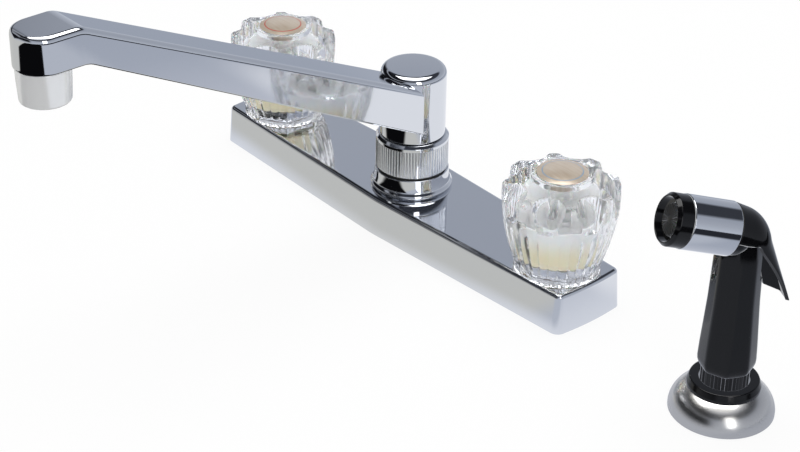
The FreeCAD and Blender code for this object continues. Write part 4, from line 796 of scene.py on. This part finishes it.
# %% Spout
BAR_HALF, HEAD_HALF = 14.8, 12.4
BAR_FOOT_Z, BAR_CREST_Z = 50.2, 74.1
HEAD_TOP, HEAD_BOTTOM, HEAD_TIP = 163.0, 146.1, 214.8
TOP_BEND, LOW_BEND = 190.4, 187.9
TOP_ROUND, LOW_ROUND, TIP_ROUND = 3.0, 1.0, 12.0
BEND_RUN, BEND_STEPS, CORNER_STEPS, TIP_STEPS = 2.6, 6, 7, 14


def bent_path(foot_z, bend_y, head_z):
    """Side view of one long edge as (y, z): up the slope, round the bend and on to the level."""
    foot, bend = Vector((0.0, foot_z)), Vector((-bend_y, head_z))
    slope = (bend - foot).normalized()
    before, after = bend - slope * BEND_RUN, bend + Vector((-1, 0)) * BEND_RUN
    path = [foot]
    for step in range(BEND_STEPS + 1):
        share = step / BEND_STEPS
        path.append(before * (1 - share) ** 2 + bend * 2 * share * (1 - share) + after * share ** 2)
    return path


def bar_loop(high, low, half):
    """One cross-section: a rectangle with rounded upper and lower corners, tilted in side view."""
    loop = []
    corners = ((half, high, TOP_ROUND, 0), (-half, high, TOP_ROUND, 90),
               (-half, low, LOW_ROUND, 180), (half, low, LOW_ROUND, 270))
    tall = high.y - low.y
    for x, edge, round_size, start in corners:
        radius = min(round_size, half)
        for step in range(CORNER_STEPS + 1):
            lean = math.radians(start + 90 * step / CORNER_STEPS)
            across = x - math.copysign(radius, x) + radius * math.cos(lean)
            height = edge.y + (-radius if edge is high else radius) + radius * math.sin(lean)
            share = (height - low.y) / tall
            loop.append((across, low.x + (high.x - low.x) * share, height))
    return loop


def bar_half(y):
    """Half the bar's width at a place along Y: it narrows evenly as far as the tip's round."""
    return BAR_HALF + (HEAD_HALF - BAR_HALF) * min(1.0, -y / (HEAD_TIP - TIP_ROUND))


def end_round(radius, left):
    """How far an edge of this radius has turned away, this little before the tip."""
    return radius - math.sqrt(radius ** 2 - (radius - left) ** 2) if left < radius else 0.0


high_path = bent_path(BAR_CREST_Z, TOP_BEND, HEAD_TOP)
low_path = bent_path(BAR_FOOT_Z, LOW_BEND, HEAD_BOTTOM)
loops = [bar_loop(high, low, bar_half(high.x)) for high, low in zip(high_path, low_path)]
for step in range(TIP_STEPS + 1):
    lean = math.pi / 2 * step / TIP_STEPS
    place_y = -(HEAD_TIP - TIP_ROUND + TIP_ROUND * math.sin(lean))
    left = HEAD_TIP + place_y
    dip, lift = end_round(TOP_ROUND, left), end_round(LOW_ROUND, left)
    loops.append(bar_loop(Vector((place_y, HEAD_TOP - dip)), Vector((place_y, HEAD_BOTTOM + lift)),
                          HEAD_HALF - TIP_ROUND + TIP_ROUND * math.cos(lean)))
bar = stacked("spout_casting", loops, chrome)
column = turned("column", rounded([
    (0, 37.8), (14.6, 37.8), (14.6, 41.0), (13.6, 41.0), (13.6, 48.5), (16.0, 48.5, 0.5),
    (16.0, 83.4, 3.6), (0, 83.8),
]), chrome)
cut_with(bar, column, "UNION")
bore = turned("bore", [(0, 30), (10.2, 30), (10.2, 68), (0, 68)], chrome)
cut_with(bar, bore)
socket = turned("socket", [(0, 140), (10.1, 140), (10.1, 153.7), (0, 153.7)], chrome, at(0, -SPOUT_REACH))
cut_with(bar, socket)
smooth(bar)
stand_for(bar, "spout")

# %% Aerator
aerator = turned("aerator_shell", rounded([
    (8.5, 130.3), (11.0, 130.3, 1.1), (11.5, 139.0), (11.7, 146.0, 0.3), (10.0, 146.0), (10.0, 152.1),
    (9.2, 152.1), (9.2, 132.7), (8.5, 132.7),
]), aerator_chrome, at(0, -SPOUT_REACH))
smooth(aerator)
stand_for(aerator, "aerator_housing")

# %% [markdown]
# ## The knobs
# Each knob is one thick clear moulding. Its profile is turned, and a shape function then presses
# 32 fine flutes into the side and eight tapered hollows into the shoulder, which leaves eight
# lobes. The cavity for the insert is part of the same closed surface, because the light bends
# at both walls.

# %% Clear knobs
SIDE_FOOT, SIDE_TOP, SIDE_BULGE = Vector((20.3, 23.6)), Vector((27.0, 61.6)), 95.0
LOBES, LOBE_PHASE = 8, math.radians(31.5)
HOLLOW_RADIUS, HOLLOW_PLACE, HOLLOW_TAPER = 9.0, 28.6, math.tan(math.radians(16.0))
CROWN_Z, LEDGE_Z = 66.0, 50.0
FLUTES, FLUTE_DEPTH, FLUTE_TOP = 32, 0.75, 47.5
SHOULDER_RISE = 0.165
KNOB_STEPS = 384
BLEND = 0.9


def soft_minimum(a, b, reach):
    """The smaller of two numbers, with a rounded change-over."""
    mix = max(0.0, 1 - abs(a - b) / reach)
    return min(a, b) - mix * mix * reach / 4


def knob_shape(radius, height, angle):
    """The knob's radius at a height and angle, with flutes and hollows pressed in."""
    if radius < 16.5 or height < SIDE_FOOT.y:
        return radius
    if height < LEDGE_Z:
        fade = max(0.0, min(1.0, (height - SIDE_FOOT.y) / 1.5, (FLUTE_TOP - height) / 2.5))
        groove = 1 - abs(math.sin(angle * FLUTES / 2)) ** 0.7
        return radius - FLUTE_DEPTH * groove * fade
    pitch = 2 * math.pi / LOBES
    off = (angle - LOBE_PHASE + pitch / 2) % pitch - pitch / 2
    cutter = HOLLOW_RADIUS - (CROWN_Z - height) * HOLLOW_TAPER
    reach = cutter ** 2 - (HOLLOW_PLACE * math.sin(off)) ** 2
    wall = HOLLOW_PLACE * math.cos(off) - math.sqrt(max(0.0, reach))
    return soft_minimum(radius, wall, BLEND)


def side_rows(low, high, count):
    """Rows of the side's arc between two heights, both included."""
    arc = arc_points(SIDE_FOOT, SIDE_TOP, SIDE_BULGE, 400)
    heights = [low + (high - low) * k / count for k in range(count + 1)]
    return [min(arc, key=lambda p: abs(p.y - height)) for height in heights]


knob_profile = rounded([(17.1, 20.4), (20.3, 20.4, 0.7), (20.3, 23.6)])
knob_profile += side_rows(24.2, LEDGE_Z - 0.2, 16) + side_rows(LEDGE_Z + 0.2, SIDE_TOP.y, 9)
knob_profile += arc_points(SIDE_TOP, (24.0, 64.6), 3.05, 7)[1:]
knob_profile += [Vector((radius, 64.6 + (24.0 - radius) * SHOULDER_RISE))
                 for radius in (22.5, 21.0, 19.8, 18.8, 17.6, 16.4)]
knob_profile += rounded([(16.4, 65.86), (15.4, 66.0), (14.5, 66.1, 0.3), (14.3, 68.4, 0.7), (12.0, 68.4),
                         (12.0, 66.8), (5.4, 66.8), (5.4, 47.6), (17.1, 47.6, 1.0)])[1:]

for side, x in SIDES.items():
    knob = turned(side + "_knob_clear", knob_profile, acrylic, at(x), KNOB_STEPS, knob_shape)
    smooth(knob, math.radians(42))
    stand_for(knob, side + "_knob")
    button = turned(side + "_button_cap", [(0, 60.8), (5.3, 60.8), (5.3, 66.8), (11.9, 66.8)]
                    + arc_points((11.9, 68.4), (0.0, 70.3), 38.3, 12), button_paint[side], at(x), 96)
    smooth(button)
    stand_for(button, side + "_index_button")
    core = dressed(side + "_knob_core", cream_nylon, 0.35)
    stand_for(core, side + "_knob_core")
    bonnet = dressed(side + "_bonnet_nut", chrome, 0.25)
    stand_for(bonnet, side + "_bonnet_nut")

# %% [markdown]
# ## The side spray's holder
# A spun steel dome covers the hole in the sink, and a black moulded guide holds the spray.

# %% Holder
holder_at = at(SPRAY_X, SPRAY_Y)
spray_at = holder_at @ Matrix.Rotation(SPRAY_TURN, 4, "Z")
head_at = spray_at @ at(0, 0, HEAD_AXIS_Z) @ Matrix.Rotation(math.pi / 2 - HEAD_TILT, 4, "X")

dome_outer = arc_points((23.0, 2.2), (14.6, 12.4), 12.5, 14)
dome_inner = arc_points((14.6, 11.0), (21.6, 2.2), -11.1, 14)
dome = turned("holder_dome_spun", vectors((21.6, 0.0), (22.7, 0.0), (23.0, 0.35)) + dome_outer
              + vectors((12.7, 12.4), (12.7, 11.0)) + dome_inner, stainless, holder_at)
smooth(dome)
stand_for(dome, "holder_dome")

guide = turned("holder_guide_moulding", rounded([
    (9.1, -42.0), (12.6, -42.0, 0.5), (12.6, 12.4), (16.0, 12.4, 0.3), (16.0, 14.0, 0.5), (15.0, 16.6, 0.6),
    (10.9, 16.6, 0.4), (10.9, 8.1), (9.1, 8.1),
]), black_abs, holder_at)
smooth(guide)
stand_for(guide, "holder_guide")

# %% [markdown]
# ## The spray
# The coupling below the grip has 20 square ribs. Grip and lever are black ABS mouldings; a chromed
# tube slides over the head, and a nozzle ring with a grooved insert closes it.

# %% Coupling
COUPLING_NECK, COUPLING_TOP, COUPLING_RIBS = 8.4, 22.6, 20
coupling = turned("spray_coupling_body", rounded([
    (6.4, -1.6), (8.4, -1.6, 0.3), (8.4, COUPLING_NECK), (9.6, COUPLING_NECK), (9.6, COUPLING_TOP),
    (4.2, COUPLING_TOP), (4.2, COUPLING_NECK), (6.4, COUPLING_NECK),
]), black_abs)
smooth(coupling)
tooth_outline = [(9.2, -0.75), (10.35, -0.75), (10.5, -0.6), (10.5, 0.6), (10.35, 0.75), (9.2, 0.75)]
tooth = bar_part("tooth", tooth_outline, COUPLING_NECK, COUPLING_TOP, black_abs)
with_copies(coupling, tooth, COUPLING_RIBS, spray_at)
stand_for(coupling, "spray_coupling")

# %% Chromed sleeve, nozzle ring and insert
SLEEVE_START, SLEEVE_END = 6.0, 27.8
sleeve = turned("head_sleeve_tube", rounded([
    (10.1, SLEEVE_START), (11.5, SLEEVE_START, 0.35), (11.5, SLEEVE_END, 0.35), (10.1, SLEEVE_END),
]), chrome, head_at)
smooth(sleeve)
stand_for(sleeve, "head_sleeve")

NOZZLE_START, NOZZLE_FACE, NOZZLE_FLOOR = 27.9, 35.3, 32.1
nozzle = turned("nozzle_ring_moulding", rounded([
    (8.1, NOZZLE_START), (11.2, NOZZLE_START, 0.3), (11.2, NOZZLE_FACE - 1.5, 0.7), (9.9, NOZZLE_FACE, 0.4),
    (9.4, NOZZLE_FACE, 0.3), (9.0, NOZZLE_FLOOR), (7.1, NOZZLE_FLOOR), (7.1, 30.7), (8.1, 30.7),
]), black_abs, head_at)
smooth(nozzle)
stand_for(nozzle, "nozzle_ring")

INSERT_BACK, INSERT_FACE, VANES = 29.9, 33.5, 24
insert = turned("nozzle_insert_body", rounded([
    (0, INSERT_BACK), (7.0, INSERT_BACK), (7.0, INSERT_FACE - 0.6, 0.3), (1.8, INSERT_FACE - 0.6),
    (1.8, INSERT_FACE, 0.2), (0, INSERT_FACE),
]), insert_plastic, steps=96)
smooth(insert)
vane = bar_part("vane", [(1.5, -0.12), (6.5, -0.62), (6.5, 0.62), (1.5, 0.12)],
                INSERT_FACE - 1.0, INSERT_FACE, insert_plastic)
with_copies(insert, vane, VANES, head_at)
stand_for(insert, "nozzle_insert")

# %% [markdown]
# The grip is an eight sided moulding. Its facets are slightly full and their edges soft, so each
# cross-section is an octagon whose corners are cut by a circle. Behind the chromed sleeve a round
# shoulder joins it to the head, and pockets at the back make room for the lever.

# %% Grip
GRIP_WAISTS = [(11.0, 22.6), (12.0, 23.4), (12.55, 25.0), (12.7, 27.0), (12.4, 34.0), (11.8, 44.0),
               (11.1, 56.0), (10.75, 67.0), (10.4, 78.0), (9.5, 84.0), (8.2, 88.5)]
FACETS, CORNER_CUT, CORNER_SOFT, FACET_FULLNESS = 8, 0.985, 0.35, 0.05


def facet_shape(radius, height, angle):
    """An octagon with slightly full sides and soft corners; radius is the one of its corners."""
    pitch = 2 * math.pi / FACETS
    off = (angle + pitch / 2) % pitch - pitch / 2
    flat = radius * math.cos(pitch / 2) / math.cos(off)
    full = flat + (radius - flat) * FACET_FULLNESS
    return soft_minimum(full, radius * CORNER_CUT, CORNER_SOFT)


def side_prism(name, corners, width):
    """A prism across the spray, from its side view in the spray's own Y and Z."""
    flanks = [[spray_at @ Vector((x, y, z)) for y, z in corners] for x in (-width / 2, width / 2)]
    return stacked(name, flanks, black_abs)


grip_profile = vectors((0, GRIP_WAISTS[0][1]), *GRIP_WAISTS, (0, GRIP_WAISTS[-1][1]))
grip = turned("spray_grip_moulding", grip_profile, black_abs, spray_at, 160, facet_shape)
cut_with(grip, turned("seat", [(0, 5.9), (11.6, 5.9), (11.6, 30.0), (0, 30.0)], black_abs, head_at))
SHOULDER_HIGH, SHOULDER_LOW = 9.3, 11.0


def shoulder_shape(radius, height, angle):
    """Fuller below than above, where the lever covers it."""
    down = 0.5 - 0.5 * math.sin(angle)
    share = min(1.0, max(0.0, down * 3.2 - 1.2))
    return radius * (SHOULDER_HIGH + (SHOULDER_LOW - SHOULDER_HIGH) * share) / SHOULDER_LOW


shoulder = turned("shoulder", vectors((0, 5.85), (SHOULDER_LOW, 5.85), (SHOULDER_LOW, 4.0))
                  + arc_points((SHOULDER_LOW, 3.0), (5.0, -2.4), -7.2, 10) + vectors((0, -2.4)),
                  black_abs, head_at, 128, shoulder_shape)
cut_with(grip, shoulder, "UNION")
cut_with(grip, side_prism("recess", [(7.9, 67.0), (30.0, 67.0), (30.0, 106.0), (7.9, 106.0)], 21.2))
slot_corners = [(5.3, 52.0), (30.0, 52.0), (30.0, 106.0), (0.7, 106.0), (0.7, 88.7), (5.3, 88.7)]
cut_with(grip, side_prism("slot", slot_corners, 4.2))
smooth(grip, math.radians(40))
stand_for(grip, "spray_grip")

# %% [markdown]
# The lever's skin starts as a half round hood as wide as the chromed tube and flattens into a
# blade at its tip. Its cross-sections stand along the crest, a curve in the spray's side view. The
# first one lies square to the head, and further down each one lies square to the crest.

# %% Thumb lever
LEVER_WALL = 1.6
LEVER_BEND, LEVER_TIP = Vector((12.2, 86.0)), Vector((22.4, 56.9))
CREST = [Vector((-2.0, 101.3))] + arc_points((2.6, 98.9), LEVER_BEND, -17.0, 12)
CREST += [LEVER_BEND.lerp(LEVER_TIP, k / 8) for k in range(1, 9)]
HOOD_HALF, BLADE_HALF = 11.3, 7.6
HOOD_SAG, BLADE_SAG = 12.4, 1.0
TAPER_FROM, SAG_BEND = 0.25, 0.8
LAYER_NARROWER, LAYER_FLATTER = 0.92, 0.35
ACROSS = 24


def smooth_step(share):
    """0 to 1 without a kink at either end."""
    share = min(1.0, max(0.0, share))
    return share * share * (3 - 2 * share)


lengths = [0.0]
for k in range(1, len(CREST)):
    lengths.append(lengths[-1] + (CREST[k] - CREST[k - 1]).length)
into_head = Vector((-math.sin(HEAD_TILT), -math.cos(HEAD_TILT)))
skin_points, skin_faces = [], []
for layer in (0.0, LEVER_WALL):
    for k, crest in enumerate(CREST):
        share = lengths[k] / lengths[-1]
        before, after = CREST[max(0, k - 1)], CREST[min(len(CREST) - 1, k + 1)]
        along = (after - before).normalized()
        square = Vector((along.y, -along.x))
        square = square if square.x < 0 else -square
        inward = into_head.lerp(square, min(1.0, share * 3)).normalized()
        taper = smooth_step((share - TAPER_FROM) / (1 - TAPER_FROM))
        half_width = HOOD_HALF + (BLADE_HALF - HOOD_HALF) * taper
        sag = HOOD_SAG + (BLADE_SAG - HOOD_SAG) * smooth_step(share ** SAG_BEND)
        for step in range(ACROSS + 1):
            lean = math.pi / 2 * (2 * step / ACROSS - 1)
            across = (half_width - layer * LAYER_NARROWER) * math.sin(lean)
            drop = layer + (sag - layer * LAYER_FLATTER) * (1 - math.cos(lean))
            side_view = crest + inward * drop
            skin_points.append(spray_at @ Vector((across, side_view.x, side_view.y)))
row, layer_size = ACROSS + 1, (ACROSS + 1) * len(CREST)
for k in range(len(CREST) - 1):
    for step in range(ACROSS):
        first = k * row + step
        corners = (first, first + 1, first + 1 + row, first + row)
        skin_faces.append(corners)
        skin_faces.append(tuple(corner + layer_size for corner in reversed(corners)))
last_row = (len(CREST) - 1) * row
rim = list(range(row)) + [start + ACROSS for start in range(row, last_row, row)]
rim += [last_row + step for step in range(ACROSS, -1, -1)] + list(range(last_row - row, 0, -row))
for k, corner in enumerate(rim):
    after = rim[(k + 1) % len(rim)]
    skin_faces.append((corner, after, after + layer_size, corner + layer_size))
lever = new_piece("spray_lever_skin", skin_points, skin_faces, black_abs)
soften_edges(lever, 0.35, 50)
web = side_prism("lever_web", [(1.2, 91.0), (3.4, 89.0), (7.9, 89.0), (7.9, 77.5), (11.8, 62.5), (20.6, 57.6),
                               (10.8, 85.6), (3.2, 95.8), (1.2, 95.8)], 3.0)
cut_with(lever, web, "UNION")
smooth(lever)
stand_for(lever, "spray_lever")

# %% [markdown]
# The inner pieces of the spray get their edges softened too. The return spring sits in front of
# the plunger, so in the real spray it gets shorter by the plunger's travel when the lever is pressed; here it
# only gets a mesh of its own.

# %% Inner pieces of the spray
for inner in ("hose_tail", "lever_pin", "spray_plunger", "plunger_seal", "return_spring"):
    stand_for(dressed(inner, PAINT_OF[SLOT_OF[inner]], 0.1), inner)

spring = bpy.data.objects["return_spring_finish"]
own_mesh(spring)
